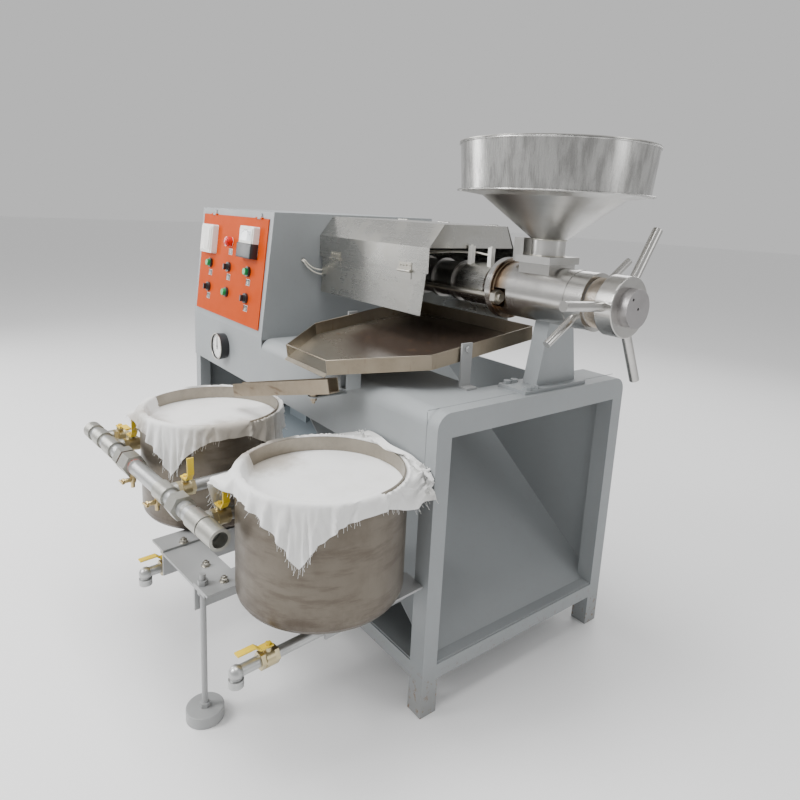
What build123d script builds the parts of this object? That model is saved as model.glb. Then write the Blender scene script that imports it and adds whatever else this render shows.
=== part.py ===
from build123d import *
from math import asin, atan2, cos, degrees, hypot, pi, radians, sin, tan
import os

os.makedirs("parts", exist_ok=True)

# All lengths are millimetres and all angles degrees. X runs to the right along the screw, towards the
# hopper end. Y runs to the back. Z is up, and the floor is z = 0. The lines below set the machine out
# from its base, and every piece is moved back at the end to put the origin under the middle of the box.
centre_shift = 18.0

# Base and cabinet
base_left = -740.0
base_right = 560.0
base_front = -95.0
base_back = 510.0
deck_height = 672.0
sheet = 3.0
foot_height = 80.0
foot_width = 43.0
rail_size = 35.0
corner_radius = 33.0
portal_post = 38.0
portal_head = 52.0
portal_flange = 40.0
apron_height = 150.0
cabinet_width = 530.0
cabinet_top = deck_height + 353.0
cabinet_setback = 39.0
mid_rail_top = 300.0
middle_post_right = 345.0
cutout_right = 458.0
cutout_front = 110.0
back_wall_top = deck_height - 55.0
chute_pitch = 36.0
chute_lip = 26.0

# Press line
screw_y = 233.0
screw_z = deck_height + 212.0
shaft_radius = 20.0
shaft_clearance = 0.05
bore_radius = 36.0
worm_radius = 35.0
worm_pitch = 56.0
flight_width = 7.0
worm_root = 24.0
barrel_left = base_left + cabinet_width + 90.0
barrel_radius = 44.0
ring_radius = 50.0
ring_width = 12.0
band_left = 286.6
band_length = 86.0
flange_left = 399.0
flange_thickness = 18.0
flange_radius = 70.0
housing_radius = 61.0
housing_length = 193.0
nose_radius = housing_radius - 11.0
nose_length = 95.0
cap_radius = nose_radius - 11.5
cap_right = 743.0
lock_ring_width = 43.0
nut_left = 686.0
nut_width = 39.0
rod_radius = 6.0
rod_pitch_radius = 57.0
rod_angle = 17.0

# Hood
hood_right = 286.0
hood_sheet = 1.5
hood_front = 89.0
hood_back = 373.0
hood_top = screw_z + 136.0
hood_eaves = screw_z + 81.0
hood_seam = screw_z + 21.0
hood_roof_front = 132.0
hood_roof_back = 345.0
flap_bottom = screw_z - 81.0

# Hopper
hopper_x = 513.0
hopper_top = screw_z + 308.0
pan_bottom = screw_z + 211.0
pan_radius = 203.0
cone_radius = 150.0
neck_radius = 36.0
neck_bottom = screw_z + 82.0
cone_foot = neck_bottom + 34.0
hopper_sheet = 2.0

# Oil tray and trough
tray_sheet = 2.0
tray_wall = 32.0
tray_slope = 8.3
tray_front_y = -175.0
tray_front_z = deck_height + 22.5

# Filter drums
drum_x = 429.0
group_turn = 5.0
drum_pitch = 465.0
drum_radius = 165.0
base_to_drum = 6.0
drum_y = base_front - base_to_drum - drum_radius
drum_bottom = 304.0
drum_height = 251.0
drum_sheet = 2.0
drum_edge = 25.0
plate_depth = 28.0
hoop_height = 30.0
cloth_thickness = 1.0

# Vacuum line
manifold_height = 455.0
manifold_y = -drum_radius - 31.0
valve_y = -drum_radius + 11.0
manifold_radius = 16.85
branch_radius = 13.0
socket_radius = 21.0

gap = 0.3

rail_top = foot_height + rail_size
rim_top = drum_bottom + drum_height
plate_height = rim_top - plate_depth
deck_under = deck_height - sheet
cabinet_right = base_left + cabinet_width
cutout_left = cabinet_right + 30.0
cabinet_middle = base_left + cabinet_width / 2
apron_bottom = deck_height - apron_height
base_middle = (base_front + base_back) / 2
base_depth = base_back - base_front
housing_left = flange_left + flange_thickness
neck_left = housing_left + housing_length
nose_end = neck_left + nose_length
lean = degrees(atan2(cabinet_setback, cabinet_top - deck_height))


def lean_y(z):
    """Front face of the leaning cabinet wall at a height."""
    return base_front + tan(radians(lean)) * (z - deck_height)


def block(x, y, z, mode=Mode.ADD):
    """Box from three low-high pairs."""
    with Locations(((x[0] + x[1]) / 2, (y[0] + y[1]) / 2, (z[0] + z[1]) / 2)):
        Box(x[1] - x[0], y[1] - y[0], z[1] - z[0], mode=mode)


def rod(start, end, radius, mode=Mode.ADD):
    """Round bar between two points."""
    run = Vector(*end) - Vector(*start)
    with BuildSketch(Plane(origin=start, z_dir=run)) as section:
        Circle(radius)
    extrude(section.sketch, amount=run.length, mode=mode)


def hexagon(start, end, across_flats):
    """Hexagonal bar between two points."""
    run = Vector(*end) - Vector(*start)
    with BuildSketch(Plane(origin=start, z_dir=run)) as section:
        RegularPolygon(across_flats / 2, 6, major_radius=False)
    extrude(section.sketch, amount=run.length)


def turned(points, axis, turn=360, mode=Mode.ADD):
    """Solid of revolution from (along, radius) points about a line along X through the screw."""
    with BuildSketch(Plane(origin=(0, screw_y, screw_z), x_dir=(1, 0, 0), z_dir=(0, -1, 0))) as section:
        with BuildLine():
            Polyline(*points, close=True)
        make_face()
    revolve(section.sketch, axis=axis, revolution_arc=turn, mode=mode)


screw_axis = Axis((0, screw_y, screw_z), (1, 0, 0))

pieces = []


def keep(piece, name):
    piece.part.label = name
    pieces.append((name, piece.part))


# Base section: arched deck and walls with the portal at the hopper end, open below the apron
with BuildPart() as base_shell:
    with BuildSketch(Plane.YZ.offset(cabinet_right)) as wrap:
        with Locations((base_middle, (rail_top + deck_height) / 2)):
            Rectangle(base_depth, deck_height - rail_top)
        fillet(wrap.vertices().group_by(Axis.Y)[-1], corner_radius)
    extrude(amount=base_right - cabinet_right)
    with BuildSketch(Plane.YZ.offset(cabinet_right)) as hollow:
        with Locations((base_middle, (rail_top + deck_under) / 2)):
            Rectangle(base_depth - 2 * sheet, deck_under - rail_top)
        fillet(hollow.vertices().group_by(Axis.Y)[-1], corner_radius - sheet)
    extrude(amount=base_right - sheet - cabinet_right, mode=Mode.SUBTRACT)
    block((base_right - sheet, base_right), (base_front, base_back), (foot_height, rail_top))
    opening_y = (base_front + portal_post, base_back - portal_post)
    opening_top = deck_height - portal_head
    flange_x = (base_right - portal_flange, base_right - sheet)
    for low, high in ((opening_y[0] - sheet, opening_y[0]), (opening_y[1], opening_y[1] + sheet)):
        block(flange_x, (low, high), (rail_top, opening_top + sheet))
    block(flange_x, (opening_y[0] - sheet, opening_y[1] + sheet), (opening_top, opening_top + sheet))
    block((base_right - sheet - 1, base_right + 1), opening_y, (rail_top, opening_top), mode=Mode.SUBTRACT)
    post_left = base_right - portal_flange - sheet
    block((post_left, post_left + sheet), (base_front + sheet, opening_y[0]), (rail_top, opening_top))
    block((post_left, post_left + sheet), (opening_y[1], base_back - sheet), (rail_top, opening_top))
    block((cabinet_right, post_left), (base_front, base_front + sheet), (rail_top, apron_bottom),
          mode=Mode.SUBTRACT)
    block((cutout_left, cutout_right), (cutout_front, base_back), (back_wall_top, deck_height),
          mode=Mode.SUBTRACT)
keep(base_shell, "base_shell")

# Rails, feet, inner posts and the shelf that carries the motor and the pump
post_top = deck_under - corner_radius + sheet
with BuildPart() as lower_frame:
    for low in (base_front, base_back - rail_size):
        block((base_left, base_right - sheet), (low, low + rail_size), (foot_height, rail_top))
    for low in (base_left, base_right - sheet - rail_size):
        block((low, low + rail_size), (base_front + rail_size, base_back - rail_size),
              (foot_height, rail_top))
    for x in (base_left, base_right - foot_width):
        for y in (base_front, base_back - foot_width):
            block((x, x + foot_width), (y, y + foot_width), (0, foot_height))
    post_front = (base_front + sheet, base_front + sheet + rail_size)
    post_back = (base_back - sheet - rail_size, base_back - sheet)
    for side in (post_front, post_back):
        block((base_left + sheet, base_left + sheet + rail_size), side, (rail_top, post_top))
    middle_post = (middle_post_right - rail_size, middle_post_right)
    block(middle_post, post_front, (rail_top, post_top))
    block((base_left + sheet, middle_post_right), post_front, (mid_rail_top - rail_size, mid_rail_top))
    block((base_left + sheet, post_left), (base_front + sheet, base_back - sheet),
          (rail_top, rail_top + sheet))
keep(lower_frame, "lower_frame")

# Cake chute: one folded sheet from under the cake outlet to the portal opening
chute_rise = tan(radians(chute_pitch))
chute_drop = sheet / cos(radians(chute_pitch))
chute_foot = base_right - sheet - 1 - chute_lip
chute_head = cutout_left - 2


def chute_z(x):
    """Top face of the chute above a point along the base."""
    return rail_top + sheet + chute_rise * (chute_foot - x)


with BuildPart() as cake_chute:
    with BuildSketch(Plane.XZ.offset(-(base_back - sheet))):
        with BuildLine():
            Polyline(
                (base_right - sheet - 1, rail_top),
                (base_right - sheet - 1, rail_top + sheet),
                (chute_foot, rail_top + sheet),
                (chute_head, chute_z(chute_head)),
                (chute_head, chute_z(chute_head) - chute_drop),
                (chute_foot + (chute_drop - sheet) / chute_rise, rail_top),
                close=True,
            )
        make_face()
    extrude(amount=base_back - sheet - opening_y[0])
    block((post_left, base_right), (opening_y[1], base_back), (0, deck_height), mode=Mode.SUBTRACT)
    block((base_left, post_left), (base_front, base_back), (rail_top, rail_top + sheet),
          mode=Mode.SUBTRACT)
keep(cake_chute, "cake_chute")

# Electrical cabinet with a leaning front, one folded shell open at the lower front
window_margin = 40.0
gauge_x = cabinet_middle - 2.0
gauge_z = deck_height - 72.0
gauge_radius = 42.0
gauge_stem = 12.0
cable_y = 34.0
cable_z = screw_z + 10.0
cable_radius = 2.0
cable_hole = 7.0
panel_left = base_left + 20.0
panel_right = cabinet_right - 24.0
panel_bottom = deck_height + 20.0
panel_top = cabinet_top - 20.0
hub_radius = 60.0
belt_slot = (base_left + 10.0, base_left + 90.0)
with BuildPart() as cabinet_shell:
    with BuildSketch(Plane.YZ.offset(base_left)):
        with BuildLine():
            Polyline(
                (base_front, rail_top),
                (base_front, deck_height),
                (base_front + cabinet_setback, cabinet_top),
                (base_back, cabinet_top),
                (base_back, rail_top),
                close=True,
            )
        make_face()
    extrude(amount=cabinet_width)
    skin = sheet / cos(radians(lean))
    with BuildSketch(Plane.YZ.offset(base_left + sheet)):
        with BuildLine():
            Polyline(
                (lean_y(deck_height) + skin, deck_height),
                (lean_y(cabinet_top - sheet) + skin, cabinet_top - sheet),
                (base_back - sheet, cabinet_top - sheet),
                (base_back - sheet, deck_height),
                close=True,
            )
        make_face()
    extrude(amount=cabinet_width - 2 * sheet, mode=Mode.SUBTRACT)
    block((base_left + sheet, cabinet_right), (base_front + sheet, base_back - sheet),
          (rail_top, deck_under), mode=Mode.SUBTRACT)
    block((base_left, cabinet_right), (base_front, base_front + sheet), (rail_top, apron_bottom),
          mode=Mode.SUBTRACT)
    block((panel_left + window_margin / 2, panel_right - window_margin / 2), (base_front, 0),
          (panel_bottom + window_margin / 2, panel_top - window_margin / 2), mode=Mode.SUBTRACT)
    block(belt_slot, (screw_y - 90, screw_y + 90), (deck_under, deck_height), mode=Mode.SUBTRACT)
    rod((gauge_x, base_front, gauge_z), (gauge_x, base_front + sheet, gauge_z), gauge_stem + 0.1,
        mode=Mode.SUBTRACT)
    rod((cabinet_right - sheet, screw_y, screw_z), (cabinet_right, screw_y, screw_z), hub_radius + 3,
        mode=Mode.SUBTRACT)
    rod((cabinet_right - sheet, cable_y, cable_z), (cabinet_right, cable_y, cable_z), cable_hole,
        mode=Mode.SUBTRACT)
    rod((cabinet_right - 2 * sheet, cable_y, cable_z), (cabinet_right - sheet, cable_y, cable_z),
        cable_hole + 4)
    leaf_plane = Plane(origin=(cabinet_middle, lean_y(panel_top), panel_top), x_dir=(1, 0, 0),
                       z_dir=(0, -cos(radians(lean)), sin(radians(lean))))
    hinge_reach = 3.0
    hinge_offset = gap + sheet
    hinge_spots = (panel_left + 92 - cabinet_middle, panel_right - 59 - cabinet_middle)
    for spot in hinge_spots:
        with BuildSketch(leaf_plane):
            with Locations((spot, 8)):
                Rectangle(20, 13)
        extrude(amount=hinge_reach)
        with BuildSketch(Plane(leaf_plane.location * Location((spot - 10, 0, hinge_offset), (0, 90, 0)))):
            Circle(hinge_reach)
        extrude(amount=20)
        with BuildSketch(Plane(leaf_plane.location * Location((spot - 10, 0, hinge_offset), (0, 90, 0)))):
            Circle(1.25)
        extrude(amount=20, mode=Mode.SUBTRACT)
keep(cabinet_shell, "cabinet_shell")

# Hinged control panel, lying on the leaning cabinet front
panel_plane = Plane(origin=(cabinet_middle, lean_y((panel_top + panel_bottom) / 2),
                            (panel_top + panel_bottom) / 2),
                    x_dir=(1, 0, 0), z_dir=(0, -cos(radians(lean)), sin(radians(lean))))
panel_height = (panel_top - panel_bottom) / cos(radians(lean))
panel_length = panel_right - panel_left
column_left = panel_left + 97 - cabinet_middle
column_middle = 0.0
column_right = panel_right - 96 - cabinet_middle


def up_panel(z):
    """Distance up the panel from its middle for a height."""
    return (z - (panel_top + panel_bottom) / 2) / cos(radians(lean))


row_top = up_panel(panel_top - 79)
row_middle = up_panel(panel_top - 156)
row_bottom = up_panel(panel_top - 234)
controller = (column_left - 11, row_top)
meter = (column_right, row_top + 10)
lamp = (column_middle, row_top)
green_spots = ((column_left, row_middle), (column_right, row_middle), (column_middle, row_bottom))
selector_spots = ((column_middle, row_middle), (column_left, row_bottom), (column_right, row_bottom))
panel_face = gap + sheet
switch_neck = 11.0
housing_sizes = ((controller, 96.0, 92.0), (meter, 96.0, 88.0))
back_depth = 55.0
with BuildPart() as control_panel:
    with BuildSketch(panel_plane.offset(gap)):
        Rectangle(panel_length, panel_height)
        for spot, width, height in housing_sizes:
            with Locations(spot):
                Rectangle(width - 6, height - 6, mode=Mode.SUBTRACT)
        with Locations(*green_spots, *selector_spots, lamp):
            Circle(switch_neck + 0.05, mode=Mode.SUBTRACT)
        for spot in hinge_spots:
            with Locations((spot, panel_height / 2)):
                Rectangle(20 + 2 * gap, 2 * (hinge_reach + gap), mode=Mode.SUBTRACT)
    extrude(amount=sheet)
    knuckle = 12.0
    for spot in hinge_spots:
        for start in (spot - 10 - gap - knuckle, spot + 10 + gap):
            with BuildSketch(Plane(leaf_plane.location * Location((start, 0, hinge_offset), (0, 90, 0)))):
                Circle(hinge_reach)
            extrude(amount=knuckle)
        with BuildSketch(Plane(leaf_plane.location * Location((spot - 15, 0, hinge_offset), (0, 90, 0)))):
            Circle(1.2)
        extrude(amount=30)
keep(control_panel, "control_panel")

# Temperature controller, panel meter and lamp, each with its housing behind the panel
instrument_depth = 21.0
with BuildPart() as panel_instruments:
    for spot, width, height in housing_sizes:
        with BuildSketch(panel_plane.offset(panel_face)):
            with Locations(spot):
                RectangleRounded(width, height, 5)
        extrude(amount=instrument_depth - 3, taper=2)
        with BuildSketch(panel_plane.offset(panel_face + instrument_depth - 3)):
            with Locations(spot):
                RectangleRounded(width - 12, height - 12, 3)
        extrude(amount=3)
        with BuildSketch(panel_plane.offset(panel_face - back_depth)):
            with Locations(spot):
                Rectangle(width - 8, height - 8)
        extrude(amount=back_depth)
    with BuildSketch(panel_plane.offset(panel_face)):
        with Locations(lamp):
            Circle(15)
    extrude(amount=5)
    with BuildSketch(panel_plane.offset(panel_face + 5)):
        with Locations(lamp):
            Circle(12)
    extrude(amount=13, taper=8)
    with BuildSketch(panel_plane.offset(panel_face - 40)):
        with Locations(lamp):
            Circle(switch_neck)
    extrude(amount=40)
keep(panel_instruments, "panel_instruments")

# Switch bodies: a bezel in front, a neck through the panel and a contact block behind
bezel_radius = 15.0
bezel_height = 7.0
cap_well = 10.8
stem_radius = 6.0
stem_depth = 14.0
with BuildPart() as switch_bezels:
    with BuildSketch(panel_plane.offset(panel_face)):
        with Locations(*green_spots, *selector_spots):
            Circle(bezel_radius)
    extrude(amount=bezel_height)
    with BuildSketch(panel_plane.offset(panel_face)):
        with Locations(*green_spots, *selector_spots):
            Circle(cap_well)
    extrude(amount=bezel_height, mode=Mode.SUBTRACT)
    with BuildSketch(panel_plane.offset(panel_face - 20)):
        with Locations(*green_spots, *selector_spots):
            Circle(switch_neck)
    extrude(amount=20)
    with BuildSketch(panel_plane.offset(panel_face - back_depth)):
        with Locations(*green_spots, *selector_spots):
            Rectangle(28, 38)
    extrude(amount=back_depth - 20)
    with BuildSketch(panel_plane.offset(panel_face - stem_depth - 6)):
        with Locations(*green_spots, *selector_spots):
            Circle(stem_radius + 0.05)
    extrude(amount=stem_depth + 6, mode=Mode.SUBTRACT)
    with BuildSketch(panel_plane.offset(panel_face)):
        with Locations(*green_spots, *selector_spots):
            Circle(bezel_radius)
            Circle(cap_well, mode=Mode.SUBTRACT)
    extrude(amount=bezel_height)
keep(switch_bezels, "switch_bezels")

button_travel = 4.0
cap_height = 16.0
for index, spot in enumerate(green_spots):
    with BuildPart() as button:
        with BuildSketch(panel_plane.offset(panel_face - stem_depth + button_travel)):
            with Locations(spot):
                Circle(stem_radius)
        extrude(amount=stem_depth + gap)
        with BuildSketch(panel_plane.offset(panel_face + button_travel + gap)):
            with Locations(spot):
                Circle(cap_well - gap)
        extrude(amount=cap_height - button_travel)
        fillet(button.faces().sort_by(Axis.Y)[0].edges(), 1.5)
    keep(button, f"green_button_{index + 1}")

for index, spot in enumerate(selector_spots):
    with BuildPart() as selector:
        with BuildSketch(panel_plane.offset(panel_face - stem_depth)):
            with Locations(spot):
                Circle(stem_radius)
        extrude(amount=stem_depth + gap)
        with BuildSketch(panel_plane.offset(panel_face + gap)):
            with Locations(spot):
                Circle(cap_well - gap)
        extrude(amount=9)
        with BuildSketch(panel_plane.offset(panel_face + gap + 9)):
            with Locations(spot):
                SlotOverall(19, 7, rotation=90)
        extrude(amount=10)
    keep(selector, f"selector_{index + 1}")

# Vacuum gauge on the vertical cabinet front
gauge_depth = 28.0
dial_depth = 5.0
gauge_rim = 4.0
gauge_axis = Axis((gauge_x, 0, gauge_z), (0, 1, 0))
with BuildPart() as vacuum_gauge:
    with BuildSketch(Plane.XY.offset(gauge_z)):
        with BuildLine():
            Polyline(
                (gauge_x, base_front + 30),
                (gauge_x + gauge_stem, base_front + 30),
                (gauge_x + gauge_stem, base_front),
                (gauge_x + gauge_radius - 2, base_front),
                (gauge_x + gauge_radius, base_front - gauge_depth + 6),
                (gauge_x + gauge_radius, base_front - gauge_depth),
                (gauge_x + gauge_radius - gauge_rim, base_front - gauge_depth),
                (gauge_x + gauge_radius - gauge_rim, base_front - gauge_depth + dial_depth),
                (gauge_x, base_front - gauge_depth + dial_depth),
                close=True,
            )
        make_face()
    revolve(axis=gauge_axis)
    rod((gauge_x, base_front - gauge_depth, gauge_z), (gauge_x, base_front - gauge_depth + 12, gauge_z),
        1.05, mode=Mode.SUBTRACT)
keep(vacuum_gauge, "vacuum_gauge")

dial_face = base_front - gauge_depth + dial_depth
with BuildPart() as gauge_needle:
    with BuildSketch(Plane.XZ.offset(-(dial_face - 1.5))):
        with Locations((gauge_x, gauge_z)):
            Circle(3.5)
        with BuildLine():
            Polyline((gauge_x - 1.6, gauge_z - 9), (gauge_x - 0.5, gauge_z + 30),
                     (gauge_x + 0.5, gauge_z + 30), (gauge_x + 1.6, gauge_z - 9), close=True)
        make_face()
    extrude(amount=1)
    rod((gauge_x, dial_face - 2, gauge_z), (gauge_x, dial_face + 6, gauge_z), 1)
keep(gauge_needle, "gauge_needle")

# Gearbox in the cabinet: casing, output flange outside the wall and an input shaft bore
casing_left = base_left + 120.0
casing_right = cabinet_right - 30.0
casing_half = 123.0
gearbox_flange = 75.0
gearbox_flange_width = 12.0
input_z = deck_height + 98.0
input_radius = 16.0
shaft_left = cabinet_right - 26.0
gearbox_face = cabinet_right + gearbox_flange_width
with BuildPart() as gearbox_casing:
    block((casing_left, casing_right), (screw_y - casing_half, screw_y + casing_half),
          (deck_height, screw_z + 101))
    fillet(gearbox_casing.edges().filter_by(Axis.X), 18)
    rod((casing_right, screw_y, screw_z), (gearbox_face, screw_y, screw_z), hub_radius)
    rod((cabinet_right, screw_y, screw_z), (gearbox_face, screw_y, screw_z), gearbox_flange)
    rod((shaft_left - 10, screw_y, screw_z), (gearbox_face, screw_y, screw_z),
        shaft_radius + shaft_clearance, mode=Mode.SUBTRACT)
    rod((casing_left, screw_y, input_z), (casing_left + 60, screw_y, input_z),
        input_radius + shaft_clearance, mode=Mode.SUBTRACT)
keep(gearbox_casing, "gearbox_casing")

# Motor on the shelf below
motor_radius = 90.0
motor_left = base_left + 100.0
motor_right = motor_left + 280.0
motor_z = rail_top + sheet + 105
motor_shaft = 14.0
pulley_left = base_left + 25.0
pulley_width = 50.0
belt_count = 3
belt_pitch = 15.0
belt_top = 10.0
belt_depth = 8.0
big_pulley = 75.0
small_pulley = 42.0
with BuildPart() as motor_body:
    rod((motor_left, screw_y, motor_z), (motor_right, screw_y, motor_z), motor_radius)
    rod((motor_right, screw_y, motor_z), (motor_right + 45, screw_y, motor_z), motor_radius - 4)
    block((motor_left + 40, motor_right - 40), (screw_y - 80, screw_y + 80),
          (rail_top + sheet, rail_top + sheet + 12))
    block((motor_left + 50, motor_right - 50), (screw_y - 55, screw_y + 55),
          (rail_top + sheet + 12, motor_z - 40))
    block((motor_left + 70, motor_right - 90), (screw_y - 45, screw_y + 45),
          (motor_z + 60, motor_z + motor_radius + 30))
    rod((motor_left, screw_y, motor_z), (motor_left + 60, screw_y, motor_z),
        motor_shaft + shaft_clearance, mode=Mode.SUBTRACT)
keep(motor_body, "motor_body")


def grooved(radius, height, shaft, shaft_end):
    """Pulley with square-bottomed belt grooves and its shaft, about a line along X."""
    axis = Axis((0, screw_y, height), (1, 0, 0))
    with BuildSketch(Plane(origin=(0, screw_y, height), x_dir=(1, 0, 0), z_dir=(0, -1, 0))) as section:
        middle = pulley_left + pulley_width / 2
        with BuildLine():
            outline = [(pulley_left, 0), (pulley_left, radius)]
            for step in range(belt_count):
                centre = middle + (step - (belt_count - 1) / 2) * belt_pitch
                outline.append((centre - belt_top / 2 - gap, radius))
                outline.append((centre - belt_top / 2 - gap, radius - belt_depth - gap))
                outline.append((centre + belt_top / 2 + gap, radius - belt_depth - gap))
                outline.append((centre + belt_top / 2 + gap, radius))
            outline.append((pulley_left + pulley_width, radius))
            outline.append((pulley_left + pulley_width, shaft))
            outline.append((shaft_end, shaft))
            outline.append((shaft_end, 0))
            Polyline(*outline, close=True)
        make_face()
    revolve(section.sketch, axis=axis)


with BuildPart() as gearbox_pulley:
    grooved(big_pulley, input_z, input_radius, casing_left + 55)
keep(gearbox_pulley, "gearbox_pulley")

with BuildPart() as motor_pulley:
    grooved(small_pulley, motor_z, motor_shaft, motor_left + 55)
keep(motor_pulley, "motor_pulley")

with BuildPart() as v_belts:
    span = input_z - motor_z
    swing = asin((big_pulley - small_pulley) / span)
    for step in range(belt_count):
        centre = pulley_left + pulley_width / 2 + (step - (belt_count - 1) / 2) * belt_pitch
        for grow, mode in ((0, Mode.ADD), (-belt_depth, Mode.SUBTRACT)):
            high = big_pulley + grow
            low = small_pulley + grow
            with BuildSketch(Plane.YZ.offset(centre - belt_top / 2)):
                with BuildLine():
                    left_high = (screw_y - high * cos(swing), input_z - high * sin(swing))
                    right_high = (screw_y + high * cos(swing), input_z - high * sin(swing))
                    left_low = (screw_y - low * cos(swing), motor_z - low * sin(swing))
                    right_low = (screw_y + low * cos(swing), motor_z - low * sin(swing))
                    ThreePointArc(left_high, (screw_y, input_z + high), right_high)
                    Line(right_high, right_low)
                    ThreePointArc(right_low, (screw_y, motor_z - low), left_low)
                    Line(left_low, left_high)
                make_face()
            extrude(amount=belt_top, mode=mode)
keep(v_belts, "v_belts")

# Press barrel with its clamp rings; the left ring hangs on the tie rods
rod_spots = [(rod_pitch_radius * cos(radians(a)), rod_pitch_radius * sin(radians(a)))
             for a in (180 + rod_angle, rod_angle)]
carrier_radius = 66.0
ring_pitch = 74.0
last_ring = band_left - ring_width - 24.6
ring_count = 1 + int((last_ring - ring_width - barrel_left) / ring_pitch)
choke_radius = 32.0
with BuildPart() as press_barrel:
    turned([(barrel_left, choke_radius), (barrel_left, carrier_radius),
            (barrel_left + ring_width, carrier_radius), (barrel_left + ring_width, barrel_radius),
            (flange_left, barrel_radius), (flange_left, bore_radius),
            (barrel_left + ring_width, bore_radius), (barrel_left + ring_width, choke_radius)],
           screw_axis)
    for step in range(ring_count):
        start = last_ring - step * ring_pitch
        turned([(start, barrel_radius - 1), (start, ring_radius), (start + ring_width, ring_radius),
                (start + ring_width, barrel_radius - 1)], screw_axis)
    for y, z in rod_spots:
        rod((barrel_left, screw_y + y, screw_z + z), (barrel_left + ring_width, screw_y + y, screw_z + z),
            rod_radius + 0.05, mode=Mode.SUBTRACT)
keep(press_barrel, "press_barrel")

band_right = band_left + band_length
with BuildPart() as heater_band:
    turned([(band_left, barrel_radius + 0.05), (band_left, ring_radius), (band_right, ring_radius),
            (band_right, barrel_radius + 0.05)], screw_axis)
keep(heater_band, "heater_band")

terminal_size = 12.0
terminal_y = 215.0
terminal_x = (296.0, 362.0)
terminal_top = screw_z + 88.0
with BuildPart() as ceramic_terminals:
    for x in terminal_x:
        block((x - terminal_size / 2, x + terminal_size / 2),
              (terminal_y - terminal_size / 2, terminal_y + terminal_size / 2),
              (screw_z + 30, terminal_top))
        rod((x, terminal_y, terminal_top), (x, terminal_y, terminal_top + 3), 3)
    rod((band_left, screw_y, screw_z), (band_right, screw_y, screw_z), ring_radius, mode=Mode.SUBTRACT)
keep(ceramic_terminals, "ceramic_terminals")

# Tie rods with their nuts on the feed flange
nut_flats = 30.0
nut_height = 15.0
thread_radius = 9.0
pocket_radius = 24.0
pocket_length = 38.0
pocket_wall = 3.0
rod_right = flange_left + flange_thickness + nut_height + 8
with BuildPart() as tie_rods:
    for y, z in rod_spots:
        rod((gearbox_face, screw_y + y, screw_z + z), (housing_left, screw_y + y, screw_z + z), rod_radius)
        rod((housing_left, screw_y + y, screw_z + z), (rod_right, screw_y + y, screw_z + z), thread_radius)
        hexagon((housing_left, screw_y + y, screw_z + z), (housing_left + nut_height, screw_y + y,
                                                           screw_z + z), nut_flats)
keep(tie_rods, "tie_rods")

# Feed housing: flange, cylinder, neck and threaded nose, open upwards under the hopper
nose_bore = neck_left + 40.0
seat_top = screw_z + housing_radius
saddle_half = 42.0
plate_bottom = neck_bottom - 15.0
with BuildPart() as feed_housing:
    turned([(flange_left, bore_radius), (flange_left, flange_radius), (housing_left, flange_radius),
            (housing_left, housing_radius), (neck_left, housing_radius), (neck_left, nose_radius),
            (nose_end, nose_radius), (nose_end, cap_radius + shaft_clearance),
            (nose_bore, cap_radius + shaft_clearance), (nose_bore, bore_radius)], screw_axis)
    block((hopper_x - saddle_half, hopper_x + saddle_half), (screw_y - saddle_half, screw_y + saddle_half),
          (screw_z + 30, plate_bottom))
    rod((flange_left, screw_y, screw_z), (nose_bore, screw_y, screw_z), bore_radius, mode=Mode.SUBTRACT)
    rod((hopper_x, screw_y, screw_z), (hopper_x, screw_y, plate_bottom), neck_radius - hopper_sheet,
        mode=Mode.SUBTRACT)
    for y, z in rod_spots:
        rod((flange_left, screw_y + y, screw_z + z), (housing_left, screw_y + y, screw_z + z),
            rod_radius + 0.05, mode=Mode.SUBTRACT)
        out = (pocket_radius + bore_radius + pocket_wall) / rod_pitch_radius
        rod((housing_left, screw_y + out * y, screw_z + out * z),
            (housing_left + pocket_length, screw_y + out * y, screw_z + out * z), pocket_radius,
            mode=Mode.SUBTRACT)
keep(feed_housing, "feed_housing")

# Lock nut with two bar levers, adjusting nut with three, and the end cap they move
lock_left = neck_left + gap
lock_right = neck_left + lock_ring_width
lever_x = neck_left + 22.0
lock_lever_tip = 147.0
with BuildPart() as lock_nut:
    turned([(lock_left, nose_radius + gap), (lock_left, housing_radius - 1), (lock_right, housing_radius - 1),
            (lock_right, nose_radius + gap)], screw_axis)
    for angle in (33, 213):
        way = (0, cos(radians(angle)), sin(radians(angle)))
        start = housing_radius - 5
        rod((lever_x, screw_y + start * way[1], screw_z + start * way[2]),
            (lever_x, screw_y + lock_lever_tip * way[1], screw_z + lock_lever_tip * way[2]), 8)
keep(lock_nut, "lock_nut")

nut_lever_x = nut_left + 19.0
nut_lever_tip = 178.0
nut_right = nut_left + nut_width
nut_web = 10.0
with BuildPart() as adjusting_nut:
    turned([(nut_left, nose_radius + gap), (nut_left, housing_radius), (nut_right, housing_radius),
            (nut_right, cap_radius + gap), (nut_right - nut_web, cap_radius + gap),
            (nut_right - nut_web, nose_radius + gap)], screw_axis)
    fillet(adjusting_nut.edges().filter_by(GeomType.CIRCLE).sort_by(SortBy.RADIUS)[-2:], 2)
    for angle in (57, 177, 297):
        way = (0, cos(radians(angle)), sin(radians(angle)))
        start = housing_radius - 6
        rod((nut_lever_x, screw_y + start * way[1], screw_z + start * way[2]),
            (nut_lever_x, screw_y + nut_lever_tip * way[1], screw_z + nut_lever_tip * way[2]), 10)
keep(adjusting_nut, "adjusting_nut")

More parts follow.
